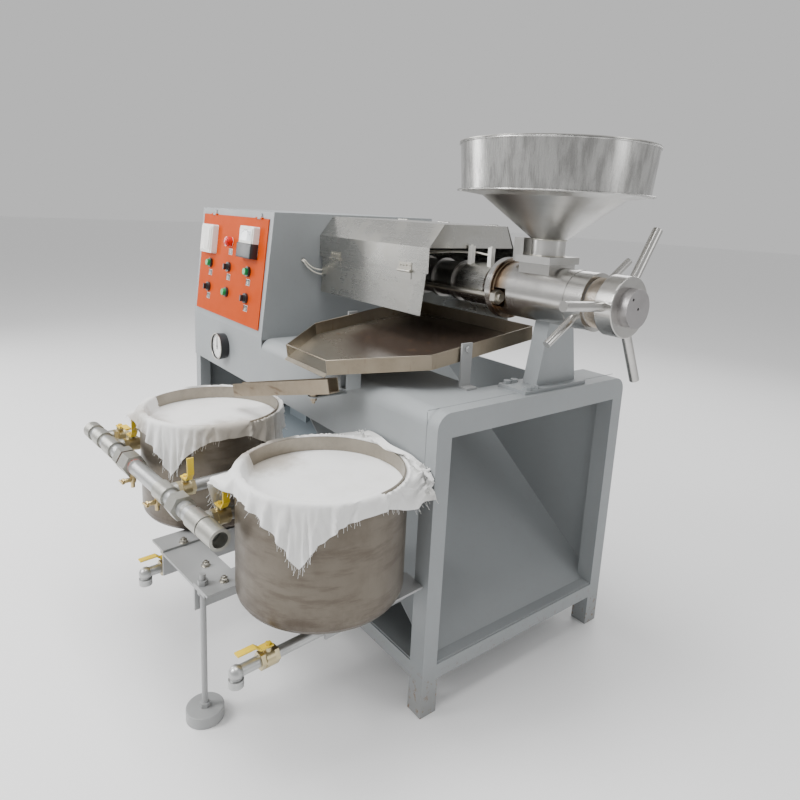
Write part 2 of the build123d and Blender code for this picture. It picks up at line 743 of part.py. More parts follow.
cap_left = nose_bore + 12
shoulder_left = nut_right - nut_web - 6
shoulder_right = nut_right - nut_web - gap
shaft_right = cap_right - 13
with BuildPart() as end_cap:
    turned([(cap_left, shaft_radius + shaft_clearance), (cap_left, cap_radius),
            (shoulder_left, cap_radius), (shoulder_left, nose_radius - 4), (shoulder_right, nose_radius - 4),
            (shoulder_right, cap_radius), (cap_right, cap_radius), (cap_right, 0), (cap_right - 8, 0),
            (cap_right - 8, shaft_radius + shaft_clearance)], screw_axis)
    for aside in (0, cap_radius - 19.5):
        rod((cap_right, screw_y - aside, screw_z + aside), (cap_right - 6, screw_y - aside, screw_z + aside), 3,
            mode=Mode.SUBTRACT)
keep(end_cap, "end_cap")

# Press screw: stepped shaft with a choke cone, and the worm's flight wound round its root
worm_left = barrel_left + ring_width + 10
worm_right = neck_left - 5
flight_foot = worm_root - 1.5
flight_middle = (flight_foot + worm_radius) / 2
with BuildPart() as press_screw:
    turned([(shaft_left, 0), (shaft_left, shaft_radius), (barrel_left - 30, shaft_radius),
            (barrel_left - 24, choke_radius - 3), (barrel_left + 30, worm_root), (worm_right, worm_root),
            (worm_right, shaft_radius), (shaft_right, shaft_radius), (shaft_right, 0)], screw_axis)
    with BuildPart(mode=Mode.PRIVATE) as flight:
        with BuildLine() as winding:
            Helix(pitch=worm_pitch, height=worm_right - 10 - worm_left, radius=flight_middle,
                  center=(worm_left, screw_y, screw_z), direction=(1, 0, 0))
        start = winding.line @ 0
        outwards = start - Vector(worm_left, screw_y, screw_z)
        with BuildSketch(Plane(origin=start, x_dir=outwards, z_dir=winding.line % 0)) as section:
            Rectangle(worm_radius - flight_foot, flight_width)
        sweep(section.sketch, path=winding.line, is_frenet=True)
    add(flight.part)
keep(press_screw, "press_screw")

# Pedestal that carries the feed housing
pedestal_x = (hopper_x - 23, hopper_x + 17)
pedestal_foot = 8.0
foot_top = deck_height + pedestal_foot
bolt_flats = 15.0
with BuildPart() as housing_pedestal:
    with BuildSketch(Plane.YZ.offset(pedestal_x[0])):
        with BuildLine():
            Polyline((screw_y - 18, foot_top), (screw_y + 12, screw_z - 40), (screw_y + 87, screw_z - 40),
                     (screw_y + 117, foot_top), close=True)
        make_face()
    extrude(amount=pedestal_x[1] - pedestal_x[0])
    rod((pedestal_x[0], screw_y, screw_z), (pedestal_x[1], screw_y, screw_z), housing_radius + 0.05,
        mode=Mode.SUBTRACT)
    block((pedestal_x[0] - 20, pedestal_x[1] + 20), (screw_y - 75, screw_y + 132), (deck_height, foot_top))
    for x in (pedestal_x[0] - 10, pedestal_x[1] + 10):
        for y in (screw_y - 58, screw_y - 35):
            hexagon((x, y, foot_top), (x, y, foot_top + 7), bolt_flats)
keep(housing_pedestal, "housing_pedestal")

# Oil tray: folded sheet that slopes to its open front, with a lip and a bracket for the trough
slope = radians(tray_slope)
tray_plane = Plane(origin=(0, tray_front_y, tray_front_z), x_dir=(1, 0, 0), z_dir=(0, -sin(slope), cos(slope)))


def up_tray(y):
    """Distance up the sloping floor for a plan position."""
    return (y - tray_front_y) / cos(slope)


tray_plan = [(103, tray_front_y), (285, tray_front_y), (430, -5), (442, 293), (-12, 293), (-12, -33)]
tray_corners = [(x, up_tray(y)) for x, y in tray_plan]
with BuildPart() as oil_tray:
    with BuildSketch(tray_plane):
        with BuildLine():
            Polyline(*tray_corners, close=True)
        make_face()
    extrude(amount=tray_wall)
    with BuildSketch(tray_plane.offset(tray_sheet)):
        with BuildLine():
            Polyline(*tray_corners, close=True)
        make_face()
        offset(amount=-tray_sheet, kind=Kind.INTERSECTION, mode=Mode.REPLACE)
    extrude(amount=tray_wall, mode=Mode.SUBTRACT)
    with BuildSketch(tray_plane.offset(tray_sheet)):
        with Locations(((tray_corners[0][0] + tray_corners[1][0]) / 2, 0)):
            Rectangle(tray_corners[1][0] - tray_corners[0][0] - 2, 2.5 * tray_sheet)
    extrude(amount=tray_wall, mode=Mode.SUBTRACT)
    with BuildSketch(Plane(origin=(194, tray_front_y, tray_front_z + tray_sheet), x_dir=(1, 0, 0),
                           z_dir=(0, -sin(radians(50)), -cos(radians(50))))):
        Rectangle(182, tray_sheet)
    extrude(amount=10)
keep(oil_tray, "oil_tray")

trough_right = (296.0, -163.0, deck_height - 16)
trough_left = (-60.0, -225.0, rim_top + 10)
trough_width = 30.0
trough_height = 32.0
trough_run = Vector(*trough_left) - Vector(*trough_right)
trough_plan = degrees(atan2(trough_run.Y, trough_run.X))
pivot_share = 0.19
pivot = Vector(*trough_right) + trough_run * pivot_share
trough_side = Vector(-sin(radians(trough_plan)), cos(radians(trough_plan)), 0)
trough_plane = Plane(origin=trough_right, x_dir=trough_side, z_dir=trough_run)
pin_radius = 4.0
tab_top = pivot.Z - 5
arm_x = (276.0, 300.0)
arm_y = (-136.0, -98.0)
arm_bottom = deck_height - 13
with BuildPart() as trough_arm:
    for low in (arm_x[0], arm_x[1] - tray_sheet):
        block((low, low + tray_sheet), arm_y, (arm_bottom, deck_height + 48))
    block(arm_x, arm_y, (arm_bottom, arm_bottom + tray_sheet))
    with BuildSketch(tray_plane):
        with Locations((200, 0)):
            Rectangle(900, 900)
    extrude(amount=100, mode=Mode.SUBTRACT)
    with BuildSketch(Plane.XY.offset(tab_top - sheet)):
        with Locations((pivot.X, (pivot.Y + base_front) / 2)):
            Rectangle(26, base_front - pivot.Y)
        with Locations((pivot.X, pivot.Y)):
            Circle(13)
            Circle(pin_radius + 0.05, mode=Mode.SUBTRACT)
    extrude(amount=sheet)
keep(trough_arm, "trough_arm")

# Flat bars from the deck to the tray walls, each with its bolt
bar_width = 30.0
bar_thickness = 5.0
bar_y = 83.0
bar_bolt_z = deck_height + 86
bars = ((434.0 + tray_sheet, 1), (-12.0 - gap - bar_thickness, -1))
with BuildPart() as tray_bracket:
    for low, side in bars:
        block((low, low + bar_thickness), (bar_y - bar_width / 2, bar_y + bar_width / 2),
              (deck_height, bar_bolt_z + 14))
        if side > 0:
            foot = (low + bar_thickness, low + bar_thickness + 22)
            head = (low + bar_thickness, low + bar_thickness + 6)
        else:
            foot = (low - 22, low)
            head = (low - 6, low)
        block(foot, (bar_y - bar_width / 2, bar_y + bar_width / 2), (deck_height, deck_height + bar_thickness))
        hexagon((head[0], bar_y, bar_bolt_z), (head[1], bar_y, bar_bolt_z), 13)
keep(tray_bracket, "tray_bracket")

# Swivelling oil trough: a folded channel that falls to the left, turning on a bolt under its head
with BuildPart() as swivel_trough:
    with BuildSketch(trough_plane):
        Rectangle(trough_width, trough_height, align=(Align.CENTER, Align.MIN))
        with Locations((0, tray_sheet)):
            Rectangle(trough_width - 2 * tray_sheet, trough_height, align=(Align.CENTER, Align.MIN),
                      mode=Mode.SUBTRACT)
    extrude(amount=trough_run.length)
    rod((pivot.X, pivot.Y, tab_top + gap), (pivot.X, pivot.Y, pivot.Z + 1), 9)
    rod((pivot.X, pivot.Y, tab_top - sheet - 14), (pivot.X, pivot.Y, pivot.Z + 1), pin_radius)
    hexagon((pivot.X, pivot.Y, tab_top - sheet - gap), (pivot.X, pivot.Y, tab_top - sheet - gap - 8), 13)
keep(swivel_trough, "swivel_trough")

# Hopper: shallow pan, cone, neck and flange plate, with the gate box beside the neck
with BuildPart() as hopper:
    with BuildSketch(Plane(origin=(hopper_x, screw_y, 0), x_dir=(1, 0, 0), z_dir=(0, -1, 0))):
        with BuildLine():
            Polyline(
                (neck_radius - hopper_sheet, plate_bottom),
                (neck_radius, plate_bottom),
                (neck_radius, cone_foot),
                (cone_radius, pan_bottom - 7),
                (pan_radius - 8, pan_bottom),
                (pan_radius, hopper_top),
                (pan_radius - hopper_sheet, hopper_top),
                (pan_radius - 8 - hopper_sheet, pan_bottom + hopper_sheet),
                (cone_radius - hopper_sheet, pan_bottom - 7 + hopper_sheet),
                (neck_radius - hopper_sheet, cone_foot + hopper_sheet),
                close=True,
            )
        make_face()
    revolve(axis=Axis((hopper_x, screw_y, 0), (0, 0, 1)))
    block((hopper_x - 48, hopper_x + 47), (screw_y - 49, screw_y + 49), (plate_bottom, neck_bottom))
    block((hopper_x - 75, hopper_x - 47), (screw_y - 27, screw_y + 13), (plate_bottom, cone_foot + 2))
    rod((hopper_x, screw_y, plate_bottom), (hopper_x, screw_y, neck_bottom), neck_radius - hopper_sheet,
        mode=Mode.SUBTRACT)
keep(hopper, "hopper")

lid_sheet = 2.0
with BuildPart() as hopper_lid:
    with BuildSketch(Plane.XY.offset(hopper_top + gap)):
        with Locations((hopper_x, screw_y)):
            Circle(pan_radius + 2)
    extrude(amount=lid_sheet)
keep(hopper_lid, "hopper_lid")

# Hood over the barrel: fixed rear panel, hinged cover and hinged front flap
hood_left = cabinet_right + gap
rear_bottom = screw_z - 124.0
hood_hinges = (cabinet_right + 60, (cabinet_right + hood_right) / 2, hood_right - 60)
hood_knuckle = 3.0
with BuildPart() as hood_rear_panel:
    with BuildSketch(Plane.YZ.offset(cabinet_right)):
        with BuildLine():
            fall = hypot(hood_back - hood_roof_back, hood_top - hood_eaves)
            across = (hood_top - hood_eaves) / fall * hood_sheet
            Polyline(
                (hood_roof_back, hood_top),
                (hood_back, hood_eaves),
                (hood_back, rear_bottom),
                (hood_back - hood_sheet, rear_bottom),
                (hood_back - hood_sheet, hood_eaves - 0.4),
                (hood_roof_back - across, hood_top - hood_sheet * (hood_back - hood_roof_back) / fall),
                close=True,
            )
        make_face()
    extrude(amount=hood_right - cabinet_right)
    block((cabinet_right, cabinet_right + hood_sheet), (hood_back - 20, hood_back - hood_sheet),
          (rear_bottom, hood_eaves))
    for spot in hood_hinges:
        for start in (spot - 22 - gap, spot + 10 + gap):
            rod((start - gap, hood_roof_back, hood_top), (start + 12 + gap, hood_roof_back, hood_top),
                hood_knuckle + gap, mode=Mode.SUBTRACT)
        rod((spot - 10, hood_roof_back, hood_top), (spot + 10, hood_roof_back, hood_top), hood_knuckle)
        rod((spot - 10, hood_roof_back, hood_top), (spot + 10, hood_roof_back, hood_top), 1.25,
            mode=Mode.SUBTRACT)
keep(hood_rear_panel, "hood_rear_panel")

with BuildPart() as hood_cover:
    with BuildSketch(Plane.YZ.offset(hood_left)):
        with BuildLine():
            seam = hood_roof_back - 2.0
            Polyline(
                (hood_front, hood_seam + gap),
                (hood_front, hood_eaves),
                (hood_roof_front, hood_top),
                (seam, hood_top),
                (seam, hood_top - hood_sheet),
                (hood_roof_front + 0.8, hood_top - hood_sheet),
                (hood_front + hood_sheet, hood_eaves - 0.6),
                (hood_front + hood_sheet, hood_seam + gap),
                close=True,
            )
        make_face()
    extrude(amount=hood_right - hood_left)
    with BuildSketch(Plane.YZ.offset(hood_right - hood_sheet)):
        with BuildLine():
            Polyline(
                (hood_front, hood_eaves),
                (hood_roof_front, hood_top),
                (hood_roof_back - 4, hood_top),
                (hood_back - 6, hood_eaves),
                close=True,
            )
        make_face()
    extrude(amount=hood_sheet)
    for spot in hood_hinges:
        rod((spot - 10 - gap, hood_roof_back, hood_top), (spot + 10 + gap, hood_roof_back, hood_top),
            hood_knuckle + gap, mode=Mode.SUBTRACT)
        for start in (spot - 22 - gap, spot + 10 + gap):
            rod((start, hood_roof_back, hood_top), (start + 12, hood_roof_back, hood_top), hood_knuckle)
        rod((spot - 18, hood_roof_back, hood_top), (spot + 18, hood_roof_back, hood_top), 1.2)
keep(hood_cover, "hood_cover")

flap_axis_y = hood_front - 3.5
flap_spots = (cabinet_right + 90, hood_right - 87)
flap_knuckle = 3.5
with BuildPart() as hood_flap:
    with BuildSketch(Plane.XZ.offset(-(hood_front + hood_sheet))):
        with BuildLine():
            Polyline((cabinet_right + 19, hood_seam - gap), (hood_right - 7, hood_seam - gap),
                     (hood_right - 21, flap_bottom), (cabinet_right + 11, flap_bottom), close=True)
        make_face()
    extrude(amount=hood_sheet)
    for spot in flap_spots:
        block((spot - 25, spot + 25), (hood_front - hood_sheet, hood_front), (hood_seam - 19, hood_seam - gap))
        block((spot - 9, spot + 9), (hood_front - 3.5, hood_front - hood_sheet),
              (hood_seam - 3.4, hood_seam - gap))
        rod((spot - 9, flap_axis_y, hood_seam), (spot + 9, flap_axis_y, hood_seam), flap_knuckle)
        rod((spot - 9, flap_axis_y, hood_seam), (spot + 9, flap_axis_y, hood_seam), 1.45,
            mode=Mode.SUBTRACT)
        for start in (spot - 25, spot + 9):
            rod((start - gap, flap_axis_y, hood_seam), (start + 16 + gap, flap_axis_y, hood_seam),
                flap_knuckle + gap, mode=Mode.SUBTRACT)
keep(hood_flap, "hood_flap")

with BuildPart() as flap_hinges:
    for spot in flap_spots:
        block((spot - 25, spot + 25), (hood_front - hood_sheet, hood_front), (hood_seam + gap, hood_seam + 20))
        for start in (spot - 25, spot + 9 + gap):
            rod((start, flap_axis_y, hood_seam), (start + 16 - gap, flap_axis_y, hood_seam), flap_knuckle)
            block((start, start + 16 - gap), (hood_front - 3.5, hood_front - hood_sheet),
                  (hood_seam + gap, hood_seam + 3.4))
        rod((spot - 9 - gap, flap_axis_y, hood_seam), (spot + 9 + gap, flap_axis_y, hood_seam),
            flap_knuckle + gap, mode=Mode.SUBTRACT)
        rod((spot - 20, flap_axis_y, hood_seam), (spot + 20, flap_axis_y, hood_seam), 1.4)
        for x in (spot - 18, spot - 6, spot + 6, spot + 18):
            rod((x, hood_front - hood_sheet, hood_seam + 13), (x, hood_front - hood_sheet - 1.6,
                                                               hood_seam + 13), 2.4)
keep(flap_hinges, "flap_hinges")

# Filter group: everything is set out in a frame turned slightly about the near drum
group = Plane(origin=(drum_x, drum_y, 0), x_dir=(cos(radians(group_turn)), sin(radians(group_turn)), 0),
              z_dir=(0, 0, 1))
drum_centres = (0.0, -drum_pitch)


def g(x, y, z):
    """Point given in the filter group's frame."""
    return tuple(group.from_local_coords(Vector(x, y, z)))


def group_block(x, y, z, mode=Mode.ADD):
    """Box from low-high pairs in the filter group's frame."""
    with BuildSketch(group.offset(z[0])) as section:
        with Locations(((x[0] + x[1]) / 2, (y[0] + y[1]) / 2)):
            Rectangle(x[1] - x[0], y[1] - y[0])
    extrude(section.sketch, amount=z[1] - z[0], mode=mode)


def group_turned(centre, points, mode=Mode.ADD):
    """Solid of revolution from (radius, height) points about an upright line in the group."""
    origin = g(centre, 0, 0)
    with BuildSketch(Plane(origin=origin, x_dir=(1, 0, 0), z_dir=(0, -1, 0))) as section:
        with BuildLine():
            Polyline(*points, close=True)
        make_face()
    revolve(section.sketch, axis=Axis(origin, (0, 0, 1)), mode=mode)


outlet_radius = 10.65
drain_drops = (50.0, -390.0)
bend_points = [(drum_radius - drum_edge * (1 - cos(radians(a))), drum_bottom + drum_edge * (1 - sin(radians(a))))
               for a in (0, 22.5, 45, 67.5, 90)]
inner_edge = drum_edge - drum_sheet
inner_points = [(drum_radius - drum_sheet - inner_edge * (1 - cos(radians(a))),
                 drum_bottom + drum_sheet + inner_edge * (1 - sin(radians(a)))) for a in (90, 67.5, 45, 22.5, 0)]
with BuildPart() as filter_drums:
    for centre in drum_centres:
        group_turned(centre, [(drum_radius, rim_top)] + bend_points + [(0, drum_bottom),
                     (0, drum_bottom + drum_sheet)] + inner_points
                     + [(drum_radius - drum_sheet, plate_height - 5), (drum_radius - 14, plate_height - 5),
                        (drum_radius - 14, plate_height), (drum_radius - drum_sheet, plate_height),
                        (drum_radius - drum_sheet, rim_top)])
    for x in drain_drops:
        rod(g(x, 0, drum_bottom - 1), g(x, 0, drum_bottom + drum_sheet + 1), outlet_radius,
            mode=Mode.SUBTRACT)
keep(filter_drums, "filter_drums")

plate_clearance = 1.0
with BuildPart() as filter_plates:
    for centre in drum_centres:
        with BuildSketch(group.offset(plate_height)):
            with Locations((centre, 0)):
                Circle(drum_radius - drum_sheet - plate_clearance)
                with PolarLocations(60, 8):
                    Circle(5, mode=Mode.SUBTRACT)
                with PolarLocations(115, 14):
                    Circle(5, mode=Mode.SUBTRACT)
        extrude(amount=drum_sheet)
keep(filter_plates, "filter_plates")

plate_top = plate_height + drum_sheet
hoop_radius = drum_radius - drum_sheet - 3
hoop_bottom = plate_top + 2 * gap + cloth_thickness
with BuildPart() as hold_down_hoops:
    for centre in drum_centres:
        group_turned(centre, [(hoop_radius - 3, hoop_bottom), (hoop_radius, hoop_bottom),
                              (hoop_radius, hoop_bottom + hoop_height),
                              (hoop_radius - 3, hoop_bottom + hoop_height)])
keep(hold_down_hoops, "hold_down_hoops")

skirt_bottom = rim_top - 36
corner_bottom = rim_top - 112
corner_half = 102.0


def cloth(centre, corners):
    """Filter cloth as a thin cap over plate and rim, with the sheet's corners hanging down outside."""
    low = plate_top + gap
    inside = drum_radius - drum_sheet - 0.5
    outside = drum_radius + 0.5
    top = rim_top + gap + cloth_thickness
    group_turned(centre, [
        (0, low), (inside, low), (inside, rim_top + gap), (outside, rim_top + gap), (outside, skirt_bottom),
        (outside + cloth_thickness, skirt_bottom), (outside + cloth_thickness, top),
        (inside - cloth_thickness, top), (inside - cloth_thickness, low + cloth_thickness),
        (0, low + cloth_thickness)])
    for corner in corners:
        way = Vector(cos(radians(group_turn + corner)), sin(radians(group_turn + corner)), 0)
        with BuildPart(mode=Mode.PRIVATE) as lobe:
            group_turned(centre, [(outside, corner_bottom), (outside + cloth_thickness, corner_bottom),
                                  (outside + cloth_thickness, skirt_bottom), (outside, skirt_bottom)])
            across = Plane(origin=g(centre, 0, 0), x_dir=Vector(0, 0, 1).cross(way), z_dir=way)
            with BuildSketch(across) as triangle:
                with BuildLine():
                    Polyline((-corner_half, skirt_bottom), (corner_half, skirt_bottom), (0, corner_bottom),
                             close=True)
                make_face()
            extrude(triangle.sketch, amount=2 * drum_radius, mode=Mode.INTERSECT)
        add(lobe.part)


with BuildPart() as near_cloth:
    cloth(drum_centres[0], (-49, 41, 131))
keep(near_cloth, "near_cloth")

with BuildPart() as far_cloth:
    cloth(drum_centres[1], (-57, 33, 123))
keep(far_cloth, "far_cloth")

# Angle arms under the drums, the bridge plate between them and the levelling leg
angle_size = 60.0
angle_sheet = 5.0
arm_front = -drum_radius - 25.0
arm_back = drum_radius + 55.0
arm_starts = (-165.0, -375.0)
rear_arm_starts = (70.0, -590.0)
bridge_x = (-330.0, -118.0)
bridge_y = (arm_front, arm_front + 85.0)
leg_spot = (-149.0, arm_front + 12.0)
with BuildPart() as drum_arms:
    for start in arm_starts + rear_arm_starts:
        front = arm_front if start in arm_starts else -40.0
        group_block((start, start + angle_size), (front, arm_back), (drum_bottom - angle_sheet, drum_bottom))
        upright = start if start in (arm_starts[0], rear_arm_starts[0]) else start + angle_size - angle_sheet
        group_block((upright, upright + angle_sheet), (front, arm_back), (drum_bottom - angle_size, drum_bottom))
    block((base_left, base_right), (base_front + sheet, base_back), (0, deck_height), mode=Mode.SUBTRACT)
    block((post_left, base_right), (base_front, base_back), (0, deck_height), mode=Mode.SUBTRACT)
    group_block(bridge_x, bridge_y, (drum_bottom - angle_sheet - 6, drum_bottom - angle_sheet))
    rod(g(*leg_spot, 0), g(*leg_spot, deck_height), rod_radius + 0.05, mode=Mode.SUBTRACT)
keep(drum_arms, "drum_arms")

foot_radius = 38.5
foot_thickness = 24.0
with BuildPart() as leveling_leg:
    rod(g(*leg_spot, foot_thickness), g(*leg_spot, drum_bottom + 22), rod_radius)
    rod(g(*leg_spot, 0), g(*leg_spot, foot_thickness), foot_radius)
    fillet(leveling_leg.edges().filter_by(GeomType.CIRCLE).sort_by(Axis.Z)[-3:-2], 2)
    hexagon(g(*leg_spot, foot_thickness), g(*leg_spot, foot_thickness + 10), 19)
    hexagon(g(*leg_spot, drum_bottom - angle_sheet - 16), g(*leg_spot, drum_bottom - angle_sheet - 6), 19)
    hexagon(g(*leg_spot, drum_bottom), g(*leg_spot, drum_bottom + 10), 19)
keep(leveling_leg, "leveling_leg")

# Vacuum manifold along the drums, with branches to each drum, to the pump and to a bleed tap
manifold_ends = (-737.0, -36.0)
port_radius = 15.2
port_depth = 30.0
port_inner = manifold_ends[1] - port_depth
branch_aside = drum_radius - 45.0
branch_end = 75.0 - drum_radius
near_branch = -branch_aside
far_branch = -drum_pitch - branch_aside
pump_branch = -275.0
bleed_branch = -660.0
drop_y = 120.0
pump_inlet_z = 205.0
pump_front = 60.0
h = manifold_height
branch_ends = ((near_branch, branch_end), (far_branch, branch_end), (pump_branch, drop_y),
               (bleed_branch, valve_y + 26.0))
drop_top = g(pump_branch, drop_y, h)
drop_foot = g(pump_branch, drop_y, pump_inlet_z)
with BuildPart() as manifold_pipes:
    rod(g(manifold_ends[0], manifold_y, h), g(port_inner - 2, manifold_y, h), manifold_radius)
    for x, end in branch_ends:
        rod(g(x, manifold_y, h), g(x, end, h), branch_radius)
    rod(drop_top, drop_foot, branch_radius)
    rod(drop_foot, (drop_foot[0], pump_front, pump_inlet_z), branch_radius)
    for spot in (drop_top, drop_foot):
        with Locations(spot):
            Sphere(branch_radius + 2)
    for centre in drum_centres:
        rod(g(centre, 0, drum_bottom), g(centre, 0, rim_top), drum_radius + 0.05, mode=Mode.SUBTRACT)
keep(manifold_pipes, "manifold_pipes")

# Drain runs below the drums: down from the outlet, forward, and down again at the end
drain_z = 247.0
drain_radius = 10.6
near_spout = -drum_radius - 47.0
far_spout = -drum_radius - 53.0
far_drain_x = -345.0
near_drain = [(drain_drops[0], 0, drum_bottom + drum_sheet), (drain_drops[0], 0, drain_z),
              (drain_drops[0], near_spout, drain_z), (drain_drops[0], near_spout, drain_z - 26)]
far_drain = [(drain_drops[1], 0, drum_bottom + drum_sheet), (drain_drops[1], 0, drain_z),
             (far_drain_x, 0, drain_z), (far_drain_x, far_spout, drain_z), (far_drain_x, far_spout, drain_z - 26)]
drain_valves = ((drain_drops[0], near_spout + 62.0), (far_drain_x, far_spout + 50.0))
with BuildPart() as drain_pipes:
    for route in (near_drain, far_drain):
        for start, end in zip(route, route[1:]):
            rod(g(*start), g(*end), drain_radius)
        for spot in route[1:-1]:
            with Locations(g(*spot)):
                Sphere(drain_radius + 3)
        tip = route[-1]
        rod(g(tip[0], tip[1], tip[2] + 14), g(*tip), drain_radius + 3)
        rod(g(tip[0], tip[1], tip[2] + 12), g(*tip), drain_radius - 2, mode=Mode.SUBTRACT)
keep(drain_pipes, "drain_pipes")

valve_half = 18.0
valve_radius = 17.0
stem_boss = 8.0
lever_pin = 3.0
boss_top = 23.0
line_valves = tuple((x, valve_y, h, branch_radius) for x, end in branch_ends)
low_valves = tuple((x, y, drain_z, drain_radius) for x, y in drain_valves)
collars = ((near_branch, 24.0), (pump_branch, 24.0), (far_branch, 24.0), (bleed_branch, 20.0))
unions = ((-464.0, 20.0), (-505.0, 14.0), (-205.0, 16.0))
with BuildPart() as pipe_fittings:
    for x, half in collars:
        rod(g(x - half, manifold_y, h), g(x + half, manifold_y, h), socket_radius)
        rod(g(x, manifold_y, h), g(x, manifold_y + socket_radius + 2, h), branch_radius + 4)
    for x, half in unions:
        hexagon(g(x - half, manifold_y, h), g(x + half, manifold_y, h), 2 * socket_radius + 4)
    rod(g(manifold_ends[1] - 56, manifold_y, h), g(manifold_ends[1], manifold_y, h), socket_radius)
    rod(g(manifold_ends[0] - 4, manifold_y, h), g(manifold_ends[0] + 30, manifold_y, h), socket_radius)
    rod(g(manifold_ends[0] - 8, manifold_y, h), g(port_inner, manifold_y, h), manifold_radius + 0.05,
        mode=Mode.SUBTRACT)
    rod(g(port_inner, manifold_y, h), g(manifold_ends[1], manifold_y, h), port_radius, mode=Mode.SUBTRACT)
    for x, end in branch_ends:
        rod(g(x, manifold_y, h), g(x, end, h), branch_radius + 0.05, mode=Mode.SUBTRACT)
keep(pipe_fittings, "pipe_fittings")

with BuildPart() as valve_bodies:
    for x, y, z, bore in line_valves + low_valves:
        size = 2 * valve_radius - 4
        hexagon(g(x, y - valve_half, z), g(x, y - valve_half + 9, z), size)
        hexagon(g(x, y + valve_half - 9, z), g(x, y + valve_half, z), size)
        rod(g(x, y - valve_half + 9, z), g(x, y + valve_half - 9, z), valve_radius)
        rod(g(x, y, z), g(x, y, z + boss_top), stem_boss)
        rod(g(x, y, z + boss_top - 5), g(x, y, z + boss_top), lever_pin + 0.05, mode=Mode.SUBTRACT)
        rod(g(x, y - valve_half, z), g(x, y + valve_half, z), bore + 0.05, mode=Mode.SUBTRACT)
keep(valve_bodies, "valve_bodies")


def bent_strip(path, thickness):
    """Outline of a bent flat bar from the points along its lower face."""
    upper = []
    for index, (x, y) in enumerate(path):
        before = path[max(index - 1, 0)]
        after = path[min(index + 1, len(path) - 1)]
        first = atan2(y - before[1], x - before[0]) if index else atan2(after[1] - y, after[0] - x)
        second = atan2(after[1] - y, after[0] - x) if index < len(path) - 1 else first
        middle = (first + second) / 2 + pi / 2
        reach = thickness / cos((second - first) / 2)
        upper.append((x + reach * cos(middle), y + reach * sin(middle)))
    return list(path) + upper[::-1]


lever_width = 14.0
lever_sheet = 3.0
upright_lever = [(-9, 0), (17, 0), (28, 15), (27, 52)]
flat_lever = [(-9, 0), (17, 0), (27, 9), (62, 9)]
levers = (
    ("lever_bleed", line_valves[3], flat_lever, 0),
    ("lever_far", line_valves[1], upright_lever, 0),
    ("lever_pump", line_valves[2], upright_lever, 0),
    ("lever_near", line_valves[0], upright_lever, 0),
    ("drain_lever_near", low_valves[0], flat_lever, -90),
    ("drain_lever_far", low_valves[1], flat_lever, -90),
)
for name, (x, y, z, bore), path, turn in levers:
    along = (cos(radians(group_turn + turn)), sin(radians(group_turn + turn)), 0)
    away = Vector(sin(radians(group_turn + turn)), -cos(radians(group_turn + turn)), 0)
    base = Vector(*g(x, y, z + boss_top + gap)) - away * lever_width / 2
    with BuildPart() as lever:
        with BuildSketch(Plane(origin=base, x_dir=along, z_dir=away)):
            with BuildLine():
                Polyline(*bent_strip(path, lever_sheet), close=True)
            make_face()
        extrude(amount=lever_width)
        rod(g(x, y, z + boss_top - 4), g(x, y, z + boss_top + 6), lever_pin)
        hexagon(g(x, y, z + boss_top + lever_sheet), g(x, y, z + boss_top + lever_sheet + 4), 9)
    keep(lever, name)

# Vacuum pump on the shelf under the chute
pump_x = (drop_foot[0] - 45, drop_foot[0] + 45)
pump_radius = 58.0
pump_y = 125.0
pump_z = rail_top + sheet + pump_radius + 8
with BuildPart() as vacuum_pump:
    block(pump_x, (pump_front, 190), (rail_top + sheet, rail_top + sheet + 132))
    fillet(vacuum_pump.edges().filter_by(Axis.X), 10)
    rod((pump_x[1], pump_y, pump_z), (pump_x[1] + 140, pump_y, pump_z), pump_radius)
    block((pump_x[1] + 20, pump_x[1] + 110), (pump_y - 50, pump_y + 50), (rail_top + sheet, pump_z - 30))
keep(vacuum_pump, "vacuum_pump")

# Heater cables from the cabinet wall behind the flap to the two ceramic terminals
cable_start = cabinet_right - sheet
first_route = [(cable_start, cable_y + 1.9, cable_z + 1.5)] + [
    (x, y, screw_z + z) for x, y, z in (
        (-202.5, cable_y + 1.9, 11.5), (-203.5, 48, -3), (-204, 70, -16), (-203, 100, -20), (-186, 132, -8),
        (-152, 150, 21), (-98, 168, 44), (-42, 166, 56), (16, 176, 53), (74, 171, 60), (132, 178, 55),
        (188, 186, 63), (236, 202, 69), (268, terminal_y, 71),
        (terminal_x[0] - terminal_size / 2, terminal_y, 71))]
second_route = [(cable_start, cable_y - 1.9, cable_z - 1.5)] + [
    (x, y, screw_z + z) for x, y, z in (
        (-202.5, cable_y - 1.9, 8.5), (-203.5, 44, -8), (-204, 68, -26), (-203, 102, -34), (-184, 140, -20),
        (-150, 162, 12), (-98, 178, 52), (-42, 182, 63), (16, 190, 66), (74, 185, 61), (132, 192, 65),
        (188, 199, 67), (240, 214, 72), (286, 226.5, 73), (318, 224, 72), (338, terminal_y, 71),
        (terminal_x[1] - terminal_size / 2, terminal_y, 71))]


def bend_radii(route):
    """Fillet radius at each inner point, as large as the shorter run beside it allows."""
    radii = []
    for before, here, after in zip(route, route[1:], route[2:]):
        arrive = Vector(*here) - Vector(*before)
        leave = Vector(*after) - Vector(*here)
        turn = radians(arrive.get_angle(leave))
        radii.append(0.45 * min(arrive.length, leave.length) / tan(turn / 2))
    return radii


for index, route in enumerate((first_route, second_route)):
    radii = bend_radii(route)
    with BuildPart() as cable:
        with BuildLine() as run:
            FilletPolyline(*route, radius=radii)
        with BuildSketch(Plane(origin=run.line @ 0, z_dir=run.line % 0)):
            Circle(cable_radius)
        sweep(path=run.line)
    keep(cable, f"heater_cable_{index + 1}")
    print("bends", [round(r, 1) for r in radii])
    length = sum(edge.length for edge in run.edges())
    print("cable", round(length, 1), round(cable.part.volume / (pi * cable_radius ** 2), 1))

